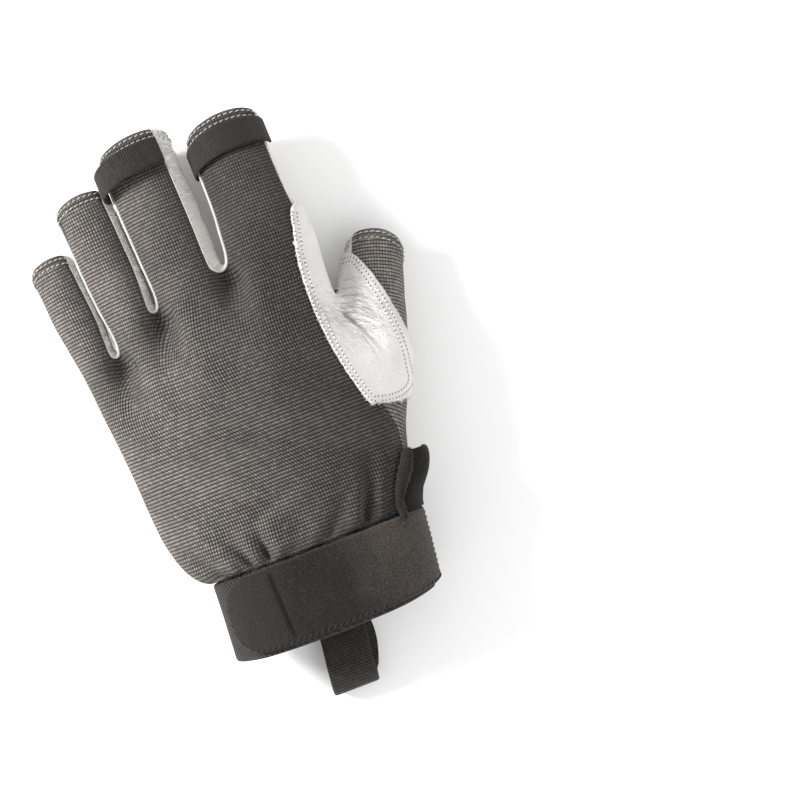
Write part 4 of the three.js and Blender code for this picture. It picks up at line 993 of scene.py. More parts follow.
def mesh_object(name, points, faces, weave=None):
    """A new object from points in metres, with the weave's coordinates at each point if given."""
    mesh = bpy.data.meshes.new(name)
    mesh.from_pydata([tuple(p) for p in points], [], faces)
    mesh.update()
    obj = bpy.data.objects.new(name, mesh)
    bpy.context.scene.collection.objects.link(obj)
    if weave is not None:
        set_weave(obj, [weave[loop.vertex_index] for loop in mesh.loops])
    return obj


def set_weave(obj, places):
    """Writes the weave's coordinates, in metres, at each corner of each face."""
    layer = obj.data.uv_layers.new(name="weave").data
    for corner, place in zip(layer, places):
        corner.uv = place


def coordinates(obj):
    """An object's points in metres, one row each."""
    values = np.empty(len(obj.data.vertices) * 3, np.float32)
    obj.data.vertices.foreach_get("co", values)
    return values.reshape(-1, 3)


def move_to(obj, points):
    """Gives an object's points new places in metres."""
    obj.data.vertices.foreach_set("co", np.asarray(points, np.float32).ravel())
    obj.data.update()


def normals_of(obj):
    """An object's normals, one row for each point."""
    values = np.empty(len(obj.data.vertices) * 3, np.float32)
    obj.data.vertices.foreach_get("normal", values)
    return values.reshape(-1, 3)


def push_out(obj, points, out, push):
    """Moves each point along its own direction by so many millimetres."""
    move_to(obj, points + out * (push * MM)[:, None])


def set_mask(obj, name, values):
    """Writes one value a point, or one for all, as a mask that the materials read."""
    values = (np.zeros(len(obj.data.vertices)) + values).astype(np.float32)
    obj.data.attributes.new(name, "FLOAT", "POINT").data.foreach_set("value", values)


def tree_of(points):
    """A tree that finds the nearest of the points."""
    tree = KDTree(max(len(points), 1))
    for i, point in enumerate(points):
        tree.insert(point, i)
    tree.balance()
    return tree


def distances(points, tree):
    """How far each point is from the nearest one in a tree, in metres."""
    return np.array([tree.find(p)[2] for p in points])


def dense(lines, step):
    """Points every step along each straight piece of the lines."""
    found = []
    for a, b in lines:
        count = max(1, int((b - a).length / step))
        found += [a.lerp(b, i / count) for i in range(count + 1)]
    return found


def reach_of(points):
    """The length of a line of points."""
    return sum((b - a).length for a, b in zip(points, points[1:]))


def ripple(points, scale, seed):
    """Smooth noise from -1 to 1 at points in metres; scale is one over the size of its waves."""
    shift = Vector((seed * 7.31, seed * 3.17, seed * 5.77))
    return np.array([noise.noise(Vector(p) * scale + shift) for p in points])


def ripple_by(x, y, z, seed):
    """Smooth noise over three sets of values, each already divided by the size of its waves."""
    return ripple(np.column_stack([x, y, z]), 1.0, seed)


def bump(values, width):
    """1 where the values are 0, falling away over that width."""
    return np.exp(-(values / width) ** 2)


def thicken(obj, wall):
    """A wall inwards from the sheet, and one more smoothing that rounds its rims."""
    solid = obj.modifiers.new("wall", "SOLIDIFY")
    solid.thickness = wall * MM
    solid.offset = -1
    solid.use_even_offset = True
    solid.use_quality_normals = True
    solid.material_offset = len(obj.data.materials) - 1
    subdivide(obj, 1)


def finish_piece(obj, node=None):
    """The piece is smooth, rides on the glove, and may stand for a solid, which it hides."""
    select_only(obj)
    bpy.ops.object.shade_smooth()
    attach(obj, "root")
    if node:
        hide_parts(node)
    return obj


# The sewn shell: all panels smoothed together, so that their seams match, then parted

PANELS = ["back_panel", "thumb_panel", "palm_panel", *[cage.crotch_name(k) for k in range(3)]]


def local_of(points):
    """Points in metres as millimetres from the cuff seam."""
    return points / MM - np.array(MIDDLE)


def fold_depth(folds, x, y, run_out=2.0):
    """Depth in millimetres of bowed folds, each deepest at its foot and fading to its head."""
    total = np.zeros(len(x))
    for fold in folds:
        (ax, ay), (bx, by) = fold["foot"], fold["head"]
        reach = math.hypot(bx - ax, by - ay)
        dx, dy = (bx - ax) / reach, (by - ay) / reach
        along = (x - ax) * dx + (y - ay) * dy
        share = np.clip(along / reach, 0, 1)
        aside = (x - ax) * dy - (y - ay) * dx - fold.get("bow", 0) * np.sin(share * math.pi)
        fade = (1 - share) ** 0.8 * np.clip(along / run_out + 1.2, 0, 1)
        total += fold["depth"] * fade * bump(aside, fold["width"] * (0.7 + 0.9 * share))
    return total


def valley_line(k, y):
    """Where the valley behind a crotch starts along the hand, and its place across at each y."""
    near, far = FINGERS[k], FINGERS[k + 1]
    start = near["crotch_radial"] * LENGTH
    at_x = (near["base_x"] + near["base_width"] / 2 + far["base_x"] - far["base_width"] / 2) / 2 * WIDTH
    return start, at_x + (start - y) * VALLEYS[k]["lean"]


class Shell:
    """The smoothed glove: its points and faces by panel, its seams and its open rims."""

    def __init__(self):
        weave = [Vector(cage.weave.get(i, (p.x, p.y))) * MM for i, p in enumerate(cage.points)]
        self.obj = mesh_object("glove_shell", [placed(p) for p in cage.points],
                               [corners for _, corners in cage.faces], weave)
        polygons = self.obj.data.polygons
        polygons.foreach_set("material_index", [PANELS.index(panel) for panel, _ in cage.faces])
        for panel in PANELS:
            self.obj.data.materials.append(bpy.data.materials.new(panel))
        subdivide(self.obj, 2)
        self.fold()
        self.find_edges()
        rims = dense(self.rims, SEAM_STEP)
        self.rim_tree = tree_of(rims)
        seams = [line for seam in self.seams.values() for line in seam]
        self.edge_tree = tree_of(rims + dense(seams, SEAM_STEP))

    def find_edges(self):
        """Seams as pairs of vertices by their two panels, and lines of points for seams and rims."""
        points, sides = self.obj.data.vertices, {}
        for face in self.obj.data.polygons:
            for key in face.edge_keys:
                sides.setdefault(key, []).append(face.material_index)
        self.seam_edges, self.seams, self.rims = {}, {}, []
        for (a, b), panels in sides.items():
            line = (points[a].co.copy(), points[b].co.copy())
            if len(panels) == 1:
                self.rims.append(line)
            elif panels[0] != panels[1]:
                self.seam_edges.setdefault(tuple(sorted(panels)), []).append((a, b))
                self.seams.setdefault(tuple(sorted(panels)), []).append(line)

    def fold(self):
        """Valleys behind the crotches, puckers above the cuff and a little looseness all over."""
        points, normals = coordinates(self.obj).astype(float), normals_of(self.obj)
        x, y = local_of(points)[:, 0], local_of(points)[:, 1]
        on_back = np.clip(normals[:, 2] * 1.6, 0, 1)
        push = np.zeros(len(points))
        depth = sizes().valley / MM
        for k, valley in enumerate(VALLEYS):
            start, line_x = valley_line(k, y)
            reach = np.clip((y - (start - valley["length"])) / valley["rise"], 0, 1)
            reach *= np.clip((start - 0.5 - y) / 6, 0, 1) ** 0.8
            push -= depth * reach ** 1.4 * bump(x - line_x, 3.6 + (start - y) * 0.11) * on_back
            push += 0.22 * depth * reach * bump(x - line_x - 7.5, 3.8) * on_back
        puckers = 1.5 * fold_depth(PUCKERS, x, y)
        push -= puckers * np.clip(normals[:, 2] + 0.45, 0, 1) * np.clip(y / 1.6, 0, 1)
        push += ripple(points, 38.0, 1.0) * 0.55 + ripple(points, 95.0, 2.0) * 0.2
        push_out(self.obj, points, normals, push * np.clip(points[:, 2] / MM / 3.0, 0.0, 1.0))

    def panel(self, name, piece):
        """A copy of one panel's faces as a new object."""
        mesh = self.obj.data
        wanted = [f for f in mesh.polygons if f.material_index == PANELS.index(name)]
        order = {v: i for i, v in enumerate(sorted({v for f in wanted for v in f.vertices}))}
        made = mesh_object(piece, [mesh.vertices[v].co for v in order],
                           [[order[v] for v in f.vertices] for f in wanted])
        source = mesh.uv_layers["weave"].data
        set_weave(made, [source[i].uv for f in wanted for i in f.loop_indices])
        return made


def glove_shell():
    """The shell, made once and deleted at the end."""
    if not hasattr(glove_shell, "made"):
        glove_shell.made = Shell()
    return glove_shell.made


def dress_panel(name, piece, wall, outside, inside, detail, lay=None):
    """One sewn panel as a walled, smooth piece with its outside and inside materials."""
    shell = glove_shell()
    obj = shell.panel(name, piece)
    if lay:
        lay(obj)
    obj.data.materials.append(outside)
    obj.data.materials.append(inside)
    thicken(obj, wall)
    detail(obj)
    away = distances(coordinates(obj), shell.edge_tree) / MM
    set_mask(obj, "edge", np.clip(1 - away / EDGE_REACH, 0, 1) ** 1.5)
    finish_piece(obj, name)


def outward(obj):
    """The points of a walled sheet, and at each the direction out of the sheet's outer face."""
    normals = normals_of(obj).astype(float)
    inner = [v for face in obj.data.polygons if face.material_index == 1 for v in face.vertices]
    normals[inner] *= -1
    return coordinates(obj).astype(float), normals


def finger_shade(local):
    """Painted shade from 0 to 1: where a finger's back turns down toward its neighbour on the thumb's side,
    and beside the valley behind each crotch.
    """
    x, y = local[:, 0], local[:, 1]
    shade = np.zeros(len(local))
    for k, finger in enumerate(FINGERS[:-1]):
        start, line_x = valley_line(k, y)
        share = np.clip((y - start) / (finger["length"] * LENGTH), 0, 1)
        middle = lerp(finger["base_x"], finger["tip_x"], share) * WIDTH
        side = (x - middle) / (lerp(finger["base_width"], finger["width"], share) * WIDTH / 2)
        turned = np.clip((side + 0.05) / 0.85, 0, 1) ** 1.2 * (side < 1.12)
        turned *= np.clip((y - start + 9) / 12, 0, 1)
        valley = bump(x - line_x + 2.0, 3.4)
        valley *= np.clip((y - start + 24) / 20, 0, 1) * np.clip((start + 2 - y) / 3, 0, 1)
        shade = np.maximum(shade, np.maximum(turned, 0.75 * valley))
    return shade


def raise_cloth(obj, waves, height, hem=1.0, seam=0.0):
    """Gives a cloth panel its hem's soft ridge, its seams' own and a slight unevenness."""
    points, out = outward(obj)
    shell = glove_shell()
    away = distances(points, shell.rim_tree) / MM
    set_mask(obj, "hem", np.clip((HEM_REACH - away) / 1.2, 0, 1) * hem)
    push = 0.28 * bump(away - 2.2, 1.9) + height * ripple(points, waves, 8.0)
    push += seam * bump(distances(points, shell.edge_tree) / MM - 1.5, 0.8) * (away > 3)
    push_out(obj, points, out, push * np.clip(points[:, 2] / MM / 2.0, 0, 1))


class GLOVE_OT_back_fabric(bpy.types.Operator):
    """Woven stretch fabric over the back of the hand and four fingers"""
    bl_idname = "glove.back_fabric"
    bl_label = "Back fabric"

    def execute(self, context):
        def detail(obj):
            points, out = outward(obj)
            local = local_of(points)
            # Painted shade for the fold mask: the pucker pits on the top and the fingers' turned sides
            painted_pit_shade = 0.6 * (fold_depth(PUCKERS, local[:, 0], local[:, 1]) - 0.15)
            painted_pit_shade = np.clip(painted_pit_shade, 0, 0.9) * (out[:, 2] > 0)
            set_mask(obj, "fold", np.maximum(painted_pit_shade, 0.9 * finger_shade(local)))
            raise_cloth(obj, 420.0, 0.05, seam=0.2)

        dress_panel("back_panel", "back_fabric", FABRIC_WALL, fabric_material("stretch_weave"),
                    fabric_material("weave_inside", inside=True), detail)
        return {"FINISHED"}


def unwrap_along(obj, way):
    """Lays the weave of a sheet flat, with its rows square to that way."""
    select_only(obj)
    bpy.ops.object.mode_set(mode="EDIT")
    bpy.ops.mesh.select_all(action="SELECT")
    bpy.ops.uv.unwrap(method="ANGLE_BASED", margin=0.0)
    bpy.ops.object.mode_set(mode="OBJECT")
    mesh = obj.data
    layer = mesh.uv_layers.active.data
    total, flat, real = 0j, 0.0, 0.0
    for face in mesh.polygons:
        across = way.cross(face.normal)
        if across.length < 0.2:
            continue
        across.normalize()
        up = face.normal.cross(across)
        loops = list(face.loop_indices)
        for a, b in zip(loops, loops[1:] + loops[:1]):
            start, end = [mesh.vertices[mesh.loops[i].vertex_index].co for i in (a, b)]
            edge, uv = end - start, layer[b].uv - layer[a].uv
            total += complex(*uv) * complex(edge.dot(across), edge.dot(up)).conjugate()
            flat += uv.length
            real += edge.length
    turn = (total / abs(total)).conjugate() * (real / flat)
    for loop in layer:
        moved = complex(*loop.uv) * turn
        loop.uv = (moved.real, moved.imag)


class GLOVE_OT_thumb_fabric(bpy.types.Operator):
    """The same fabric round the back of the thumb and down to the cuff"""
    bl_idname = "glove.thumb_fabric"
    bl_label = "Thumb fabric"

    def execute(self, context):
        way = THUMB_WAY.normalized()

        def detail(obj):
            along = local_of(coordinates(obj).astype(float)) @ np.array(way)
            raise_cloth(obj, 300.0, 0.1, hem=along > THUMB_TIP.dot(way) - 9)

        # The thumb's copy of the back's cloth is painted 1.95 times lighter, painted light where the thumb
        # catches more of it, with no side gradient
        dress_panel("thumb_panel", "thumb_fabric", FABRIC_WALL,
                    fabric_material("thumb_weave", tone=1.95, nick=0.7, even=True),
                    fabric_material("thumb_weave_inside", inside=True), detail,
                    lay=lambda obj: unwrap_along(obj, way))
        return {"FINISHED"}


def crease_leather(obj):
    """Cross wrinkles on the fingers, folds that run from the thumb over the palm, fine creases."""
    points, out = outward(obj)
    x, y, z = local_of(points).T
    on_fingers = np.clip((y - 82) / 14, 0, 1)
    cross = 0.25 - np.abs(ripple_by(x / 13, y / 2.6, z / 16, 11.0)) ** 0.8
    broad = ripple_by(x / 9, y / 6, z / 12, 12.0)
    push = 0.95 * cross * on_fingers + 0.6 * broad + 0.22 * ripple(points, 330.0, 13.0)
    from_x, from_y = x - THUMB_CENTRE[0], y - THUMB_CENTRE[1]
    turn, radius = np.arctan2(from_y, from_x), np.hypot(from_x, from_y)
    fan = ripple_by(turn * 7.5, radius / 26, 0 * turn, 14.0)
    push -= 1.1 * np.abs(fan) * bump(radius - 20, 16) * (1 - on_fingers)
    set_mask(obj, "creased", np.clip(0.25 + 0.75 * on_fingers + 0.6 * bump(radius - 18, 16), 0, 1))
    away = distances(points, glove_shell().edge_tree) / MM
    push *= sizes().crease / MM * np.clip(away / 2.0, 0.15, 1) * np.clip(points[:, 2] / MM / 2.5, 0.06, 1)
    push_out(obj, points, out, push)


class GLOVE_OT_palm_leather(bpy.types.Operator):
    """Light leather over the palm and the palm sides of the fingers"""
    bl_idname = "glove.palm_leather"
    bl_label = "Palm leather"

    def execute(self, context):
        dress_panel("palm_panel", "palm_leather", LEATHER_WALL, leather_material("palm_grain"),
                    suede_material(), crease_leather)
        return {"FINISHED"}


def tube_along(points, radii, sides):
    """Points and faces of a closed tube along a line of points, with its radius at each."""
    last = len(points) - 1
    verts, faces = [], []
    for i, (point, radius) in enumerate(zip(points, radii)):
        way = (points[min(i + 1, last)] - points[max(i - 1, 0)]).normalized()
        across = way.cross(Vector((0, 0, 1)))
        if across.length < 0.1:
            across = way.cross(Vector((1, 0, 0)))
        across.normalize()
        rise = across.cross(way)
        for s in range(sides):
            a = 2 * math.pi * s / sides
            verts.append(point + (across * math.cos(a) + rise * math.sin(a)) * radius)
    for near in range(0, last * sides, sides):
        for s in range(sides):
            t, far = (s + 1) % sides, near + sides
            faces.append((near + s, far + s, far + t, near + t))
    faces.append(tuple(range(sides)))
    faces.append(tuple(last * sides + s for s in reversed(range(sides))))
    return verts, faces


def chain(edges):
    """Edges as ordered runs of vertices."""
    near = {}
    for a, b in edges:
        near.setdefault(a, []).append(b)
        near.setdefault(b, []).append(a)
    runs, left = [], set(near)
    while left:
        run = [min([v for v in left if len(near[v]) == 1] or left)]
        while run[-1] in left:
            left.discard(run[-1])
            run += [v for v in near[run[-1]] if v in left][:1]
        runs.append(run)
    return runs


def resample(points, step):
    """The same line with even steps."""
    lengths = [0.0]
    for a, b in zip(points, points[1:]):
        lengths.append(lengths[-1] + (b - a).length)
    count = max(2, round(lengths[-1] / step))
    found, i = [], 0
    for n in range(count + 1):
        target = lengths[-1] * n / count
        while i < len(points) - 2 and lengths[i + 1] < target:
            i += 1
        span = lengths[i + 1] - lengths[i] or 1
        found.append(points[i].lerp(points[i + 1], clamp((target - lengths[i]) / span)))
    return found


def soften(points, rounds):
    """The same line with its corners eased, its ends kept."""
    for _ in range(rounds):
        eased = [(a + b * 2 + c) / 4 for a, b, c in zip(points, points[1:], points[2:])]
        points = [points[0], *eased, points[-1]]
    return points


def join_parts(name, parts):
    """One object from several lists of points and faces."""
    verts, faces = [], []
    for part_verts, part_faces in parts:
        start = len(verts)
        verts += part_verts
        faces += [tuple(start + i for i in face) for face in part_faces]
    return mesh_object(name, verts, faces)


def bvh_of(*objects):
    """A tree that finds the nearest place on the objects' faces."""
    verts, faces = [], []
    for obj in objects:
        start = len(verts)
        verts += [v.co.copy() for v in obj.data.vertices]
        faces += [[start + i for i in f.vertices] for f in obj.data.polygons]
    return BVHTree.FromPolygons(verts, faces)


class GLOVE_OT_sidewalls(bpy.types.Operator):
    """Leather between the fingers, with a rolled edge along the back that turns at the crotch"""
    bl_idname = "glove.sidewalls"
    bl_label = "Sidewalls"

    def execute(self, context):
        shell = glove_shell()
        material = leather_material("sidewall_grain", creases=1.1, wrinkle=(60, 430, 90))
        # The rolled edge's darker colour is painted shade against the light on its rim
        roll_material = leather_material("rolled_edge", "rolled", creases=0.1, scale=1.4, rim=0.9)
        tree = bvh_of(shell.obj)
        for name in PANELS[3:]:
            dress_panel(name, f"{name}_leather", LEATHER_WALL, material, suede_material(),
                        crease_leather)
            parts = []
            for run in chain(shell.seam_edges[PANELS.index("back_panel"), PANELS.index(name)]):
                line = resample(soften([shell.obj.data.vertices[v].co.copy() for v in run], 3), ROLL_STEP)
                line = [point + tree.find_nearest(point)[1] * ROLL_LIFT for point in line]
                parts.append(tube_along(line, self.roll_radii(line), 8))
            roll = join_parts(f"{name}_edge", parts)
            roll.data.materials.append(roll_material)
            set_mask(roll, "edge", 0.6)
            finish_piece(roll)
        return {"FINISHED"}

    @staticmethod
    def roll_radii(line):
        """Full round the crotch and up the thumb's side, thin up the little finger's side."""
        turn = min(range(len(line)), key=lambda i: line[i].y)
        thumb_side = 1 if line[-1].x > line[0].x else -1
        radii = []
        for i, point in enumerate(line):
            full = 0.32 + 0.68 * ease((i - turn) * thumb_side, -9, 1)
            end = 0.3 + 0.7 * ease(min(i, len(line) - 1 - i) / 8, 0, 1)
            radii.append(sizes().edge_roll * full * end * (1 + 0.14 * noise.noise(point * 260)))
        return radii


def rounded(rows, steps=4):
    """An outline as a smooth closed curve through its corners."""
    found = []
    for i in range(len(rows)):
        a, b, c, d = [Vector(rows[(i + n) % len(rows)]) for n in (-1, 0, 1, 2)]
        for t in (n / steps for n in range(steps)):
            found.append(tuple(.5 * (2 * b + (c - a) * t + (2 * a - 5 * b + 4 * c - d) * t ** 2
                                     + (3 * b - a - 3 * c + d) * t ** 3)))
    return found


def inside_outline(rows, x, y):
    """Whether a place in millimetres is inside an outline whose edge is a little ragged."""
    rag = RAG_LOW if y < 0.43 * LENGTH else RAG
    x += rag * noise.noise(Vector((x * 0.9, y * 0.9, 3.0))) + 0.1 * noise.noise(Vector((x * 3, y * 3, 9.0)))
    y += rag * noise.noise(Vector((x * 0.9, y * 0.9, 8.0)))
    odd = False
    for (x0, y0), (x1, y1) in zip(rows, rows[1:] + rows[:1]):
        x0, y0, x1, y1 = x0 * WIDTH, y0 * LENGTH, x1 * WIDTH, y1 * LENGTH
        if (y0 > y) != (y1 > y) and x < x0 + (y - y0) / (y1 - y0) * (x1 - x0):
            odd = not odd
    return odd


def patch_region():
    """The cage under the patch, drawn tight over its folds, as a fine sheet: back faces, palm faces."""
    bridged = [p.copy() for p in cage.points]
    half, start = RADIAL // 2, cage.radial_from
    middle = start + half
    index_rings = [cage.order(ring) for ring in cage.finger_rings[cage.index]]
    hole = len(cage.hole)

    def slices(rings, low, high):
        return {i for ring in rings for i in ring[low:high + 1]}

    def turned(low, high):
        return {ring[i % hole] for ring in cage.thumb_rings for i in range(low, high + 1)}

    on_back = (slices(cage.hand_rings, start - TOP, middle) | slices(index_rings, 0, TOP + half)
               | turned(-half, cage.thumb_back + half))
    on_palm = (slices(cage.hand_rings, middle, start + RADIAL + TOP)
               | slices(index_rings, TOP + half, TOP + RADIAL + TOP)
               | turned(cage.thumb_back + RADIAL, hole - half))
    for _ in range(30):
        for i in sorted(on_back | on_palm):
            way = cage.middle_of(i, bridged) - bridged[i]
            bridged[i] = bridged[i] + cage.normals[i] * (.8 * max(0, way.dot(cage.normals[i])))
    faces, kinds = [], []
    for _, corners in cage.faces:
        kind = next((k for k, zone in enumerate((on_back, on_palm)) if zone.issuperset(corners)), None)
        if kind is not None:
            faces.append(corners)
            kinds.append(kind)
    order = {v: i for i, v in enumerate(sorted({i for face in faces for i in face}))}
    obj = mesh_object("patch_region", [placed(bridged[i]) for i in order],
                      [[order[i] for i in face] for face in faces])
    for kind in ("back", "palm"):
        obj.data.materials.append(bpy.data.materials.new(f"patch_{kind}"))
    obj.data.polygons.foreach_set("material_index", kinds)
    subdivide(obj, 3, corners=False)
    return obj


def patch_sheet():
    """The second layer: the fine sheet with the points next to its outline moved onto it."""
    region = patch_region()
    mesh = region.data
    spots = [v.co / MM - MIDDLE for v in mesh.vertices]
    out = [v.normal.copy() for v in mesh.vertices]
    zone, near = [1] * len(spots), [set() for _ in spots]
    faces = [list(f.vertices) for f in mesh.polygons]
    for face, polygon in zip(faces, mesh.polygons):
        for i, v in enumerate(face):
            zone[v] = min(zone[v], polygon.material_index)
            near[v] |= {face[i - 1], face[(i + 1) % len(face)]}
    outlines = (rounded(PATCH_BACK), PATCH_PALM)
    kept = {i for i, p in enumerate(spots) if inside_outline(outlines[zone[i]], p.x, p.y)}
    crossings = {}
    for i in sorted(kept):
        for n in near[i]:
            if n in kept or zone[n] != zone[i]:
                continue
            a, b = spots[i], spots[n]
            for _ in range(12):
                middle = a.lerp(b, .5)
                if inside_outline(outlines[zone[i]], middle.x, middle.y):
                    a = middle
                else:
                    b = middle
            closer = i if (a - spots[i]).length < (a - spots[n]).length else n
            crossings.setdefault(closer, []).append(a)
    for i, found in crossings.items():
        spots[i] = sum(found, Vector()) / len(found)
        kept.add(i)
    made = [[i for i in face if i in kept] for face in faces]
    made = [face for face in made if len(face) > 2]
    order = {v: i for i, v in enumerate(sorted({i for face in made for i in face}))}
    lift = SEAM_GAP + .28 + PATCH_WALL
    points = [placed(spots[i] + out[i] * lift) for i in order]
    bpy.data.objects.remove(region)
    return points, [[order[i] for i in face] for face in made]


def patch_rim(patch):
    """The points where the patch's outer and inner faces meet."""
    outer, inner = set(), set()
    for face in patch.data.polygons:
        (inner if face.material_index == 1 else outer).update(face.vertices)
    return [patch.data.vertices[i].co.copy() for i in outer & inner]


class GLOVE_OT_crotch_patch(bpy.types.Operator):
    """Second layer of pale leather over the web between index finger and thumb"""
    bl_idname = "glove.crotch_patch"
    bl_label = "Crotch patch"

    def execute(self, context):
        points, faces = patch_sheet()
        across, along = self.arcs(local_of(np.array(points)))
        obj = mesh_object("crotch_patch_leather", points, faces, np.column_stack([across, along]) * MM)
        obj.data.materials.append(leather_material(
            "patch_grain", "patch", creases=1.0, scale=1.1, wrinkle=(420, 62, 1), by_weave=True,
            depth=0.0004, mottle=0.35, rough=0.6, rim=0.62))
        obj.data.materials.append(suede_material())
        thicken(obj, PATCH_WALL)
        points, out = outward(obj)
        local = local_of(points)
        across, along = self.arcs(local)
        x, y, z = (local - np.array(CREASE_CENTRE)).T
        mound = bump(np.hypot(x - CREASE_SPOT[0], y - CREASE_SPOT[1]), 10.0)
        folds = fold_depth(CREASES, local[:, 0], local[:, 1], 1.0) * (out[:, 2] > -0.2)
        side = bump(x + 3, 4.5) * (y > -12)
        short = ripple_by(x / 9, y / 2.4, z / 9, 24.0)
        push = 0.5 * mound * ripple_by(across / 2.1, along / 14, 0 * across, 21.0) - folds
        push -= 0.45 * side * np.clip(np.abs(short) - 0.15, 0, 1)
        push_out(obj, points, out, push + 0.16 * ripple(points, 170.0, 23.0))
        set_mask(obj, "creased", np.clip(0.04 + 0.9 * mound + 0.3 * side, 0, 1))
        # Painted shade in the patch's crease valleys, for the fold mask
        set_mask(obj, "fold", np.clip((folds - 0.1) * 1.3, 0, 1))
        away = distances(coordinates(obj), tree_of(patch_rim(obj))) / MM
        set_mask(obj, "edge", np.clip(1 - away / PATCH_EDGE_REACH, 0, 1) ** 1.5)
        finish_piece(obj, "crotch_patch")
        return {"FINISHED"}

    @staticmethod
    def arcs(local):
        """Coordinates of the leather's creases: across them and along them, in millimetres."""
        x, y = local[:, 0] - 43, local[:, 1] - 72
        low = np.clip((-1.2 * x - y - 1.5) / 9, 0, 1)
        return y + .45 * x + .026 * x * np.abs(x) + low * x * .9, x - .5 * y


def grid_sheet(name, rows, columns, point, across, along, around=False):
    """A sheet from a function of (v, u), each from 0 to 1; around joins its last column to the first.

    across and along say how far the weave runs each way for u and for v, in millimetres.
    """
    wide = columns if around else columns + 1
    points = [placed(point(r / rows, c / columns)) for r in range(rows + 1) for c in range(wide)]
    faces, weave = [], []
    for r in range(rows):
        for c in range(columns):
            corners = ((r, c), (r, c + 1), (r + 1, c + 1), (r + 1, c))
            faces.append([row * wide + col % wide for row, col in corners])
            weave += [tuple((way[0] * col / columns + way[1] * row / rows) * MM for way in (across, along))
                      for row, col in corners]
    obj = mesh_object(name, points, faces)
    set_weave(obj, weave)
    return obj


CUFF_REST = LOOP_WALL + SEAM_GAP
CUFF_GIRTH = math.pi * (CUFF_WIDTH + CUFF_DEPTH) / 2 * 1.06


class GLOVE_OT_cuff(bpy.types.Operator):
    """Dark knitted band round the wrist"""
    bl_idname = "glove.cuff"
    bl_label = "Cuff band"

    def execute(self, context):
        def point(v, u):
            made = cuff_point(1 - v, 180 - 360 * u)
            made.y -= SEAM_GAP * v
            waves = 0.35 * math.sin(2 * math.pi * u * 9) * (1 - v) * (1 if u < .5 else .3)
            made += (made - Vector((made.x * .3, made.y, 18))).normalized() * waves
            made.z = max(made.z, CUFF_REST)
            return made

        obj = grid_sheet("cuff_knit", 14, 144, point, (CUFF_GIRTH, CUFF_LENGTH * .75), (0, CUFF_LENGTH),
                         around=True)
        obj.data.materials.append(ribbed_material("slanted_knit", "knit", sizes().knit_rib, 0.0021, 0.5,
                                                  0.0006, gap=0.2, bright=1.9))
        thicken(obj, CUFF_WALL)
        from_end = coordinates(obj)[:, 1] - coordinates(obj)[:, 1].min()
        set_mask(obj, "edge", np.clip(1 - from_end / 0.003, 0, 1) * 0.5)
        finish_piece(obj, "cuff_band")
        return {"FINISHED"}


def strap_point(v, u, out):
    """A point of the strap: v across it from its lower edge, u along it from its free end."""
    angle = lerp(STRAP_FROM, STRAP_TO, u ** 1.35)
    from_end = min((cuff_point(.5, angle) - cuff_point(.5, STRAP_FROM)).length, STRAP_ROUND)
    cut = STRAP_ROUND - math.sqrt(STRAP_ROUND ** 2 - (STRAP_ROUND - from_end) ** 2)
    narrow = cut / STRAP_SHOWN
    share = STRAP_TOP + STRAP_SHOWN / CUFF_LENGTH * lerp(narrow, 1 - narrow, 1 - v)
    return cuff_point(share, angle, out)


def strap_lift(v, u):
    """How the strap stands: proud over the middle, with one crease a third of the way along."""
    past = u - CREASE_AT - CREASE_LEAN * (1 - v)
    crease = (-0.6 * math.exp(-(past / 0.0065) ** 2) + 0.12 * math.exp(-((past - 0.03) / 0.02) ** 2)
              + 0.1 * math.exp(-((past + 0.02) / 0.012) ** 2))
    crease *= ease(v, .02, .2) * ease(1 - v, .02, .2)
    belly = 0.25 * math.sin(math.pi * v) * math.sin(math.pi * min(1, u * 1.1))
    return crease + belly + 0.35 * (1 - v) * ease(u, 0.5, 0.9)


class GLOVE_OT_strap(bpy.types.Operator):
    """Brushed closure strap over the back of the cuff"""
    bl_idname = "glove.strap"
    bl_label = "Closure strap"

    def execute(self, context):
        def point(v, u):
            return strap_point(v, u, SEAM_GAP + STRAP_WALL + strap_lift(v, u))

        obj = grid_sheet("strap_felt", 18, 170, point, (110, 0), (0, STRAP_WIDTH))
        obj.data.materials.append(felt_material("brushed_felt", toned_ends=True))
        thicken(obj, STRAP_WALL)
        points, out = coordinates(obj).astype(float), normals_of(obj)
        push_out(obj, points, out, ripple(points, 900.0, 31.0) * 0.06 + ripple(points, 160.0, 32.0) * 0.12)
        # Painted shade along the strap's crease, for the fold mask
        ends = [placed(strap_point(v, CREASE_AT + CREASE_LEAN * (1 - v), 2.1)) for v in (.9, .5, .12)]
        crease = tree_of(dense(zip(ends, ends[1:]), 0.0002))
        set_mask(obj, "fold", bump(distances(points, crease), 0.00085))
        finish_piece(obj, "closure_strap")
        reach = reach_of([strap_point(.5, i / 60, 0) for i in range(61)])
        return {"FINISHED"}


def tab_point(tab, v, u, out):
    """A point of a finger's tab: v across it toward the finger's end, u along it over the finger."""
    finger = FINGERS[tab["finger"]]
    inset = TAB_INSET + tab["drop"] * (1 - u * u) + 0.3
    share = 1 - (inset + (TAB_WIDTH - 0.4) * (1 - v)) / (finger["length"] * LENGTH)
    arch = max(0.0, math.sin(math.pi * u))
    lift = tab["bulge"] * arch ** .7 + tab["lean"] * arch * (1 - u)
    return finger_point(finger, share, lerp(tab["start"], tab["stop"], u), out + lift)


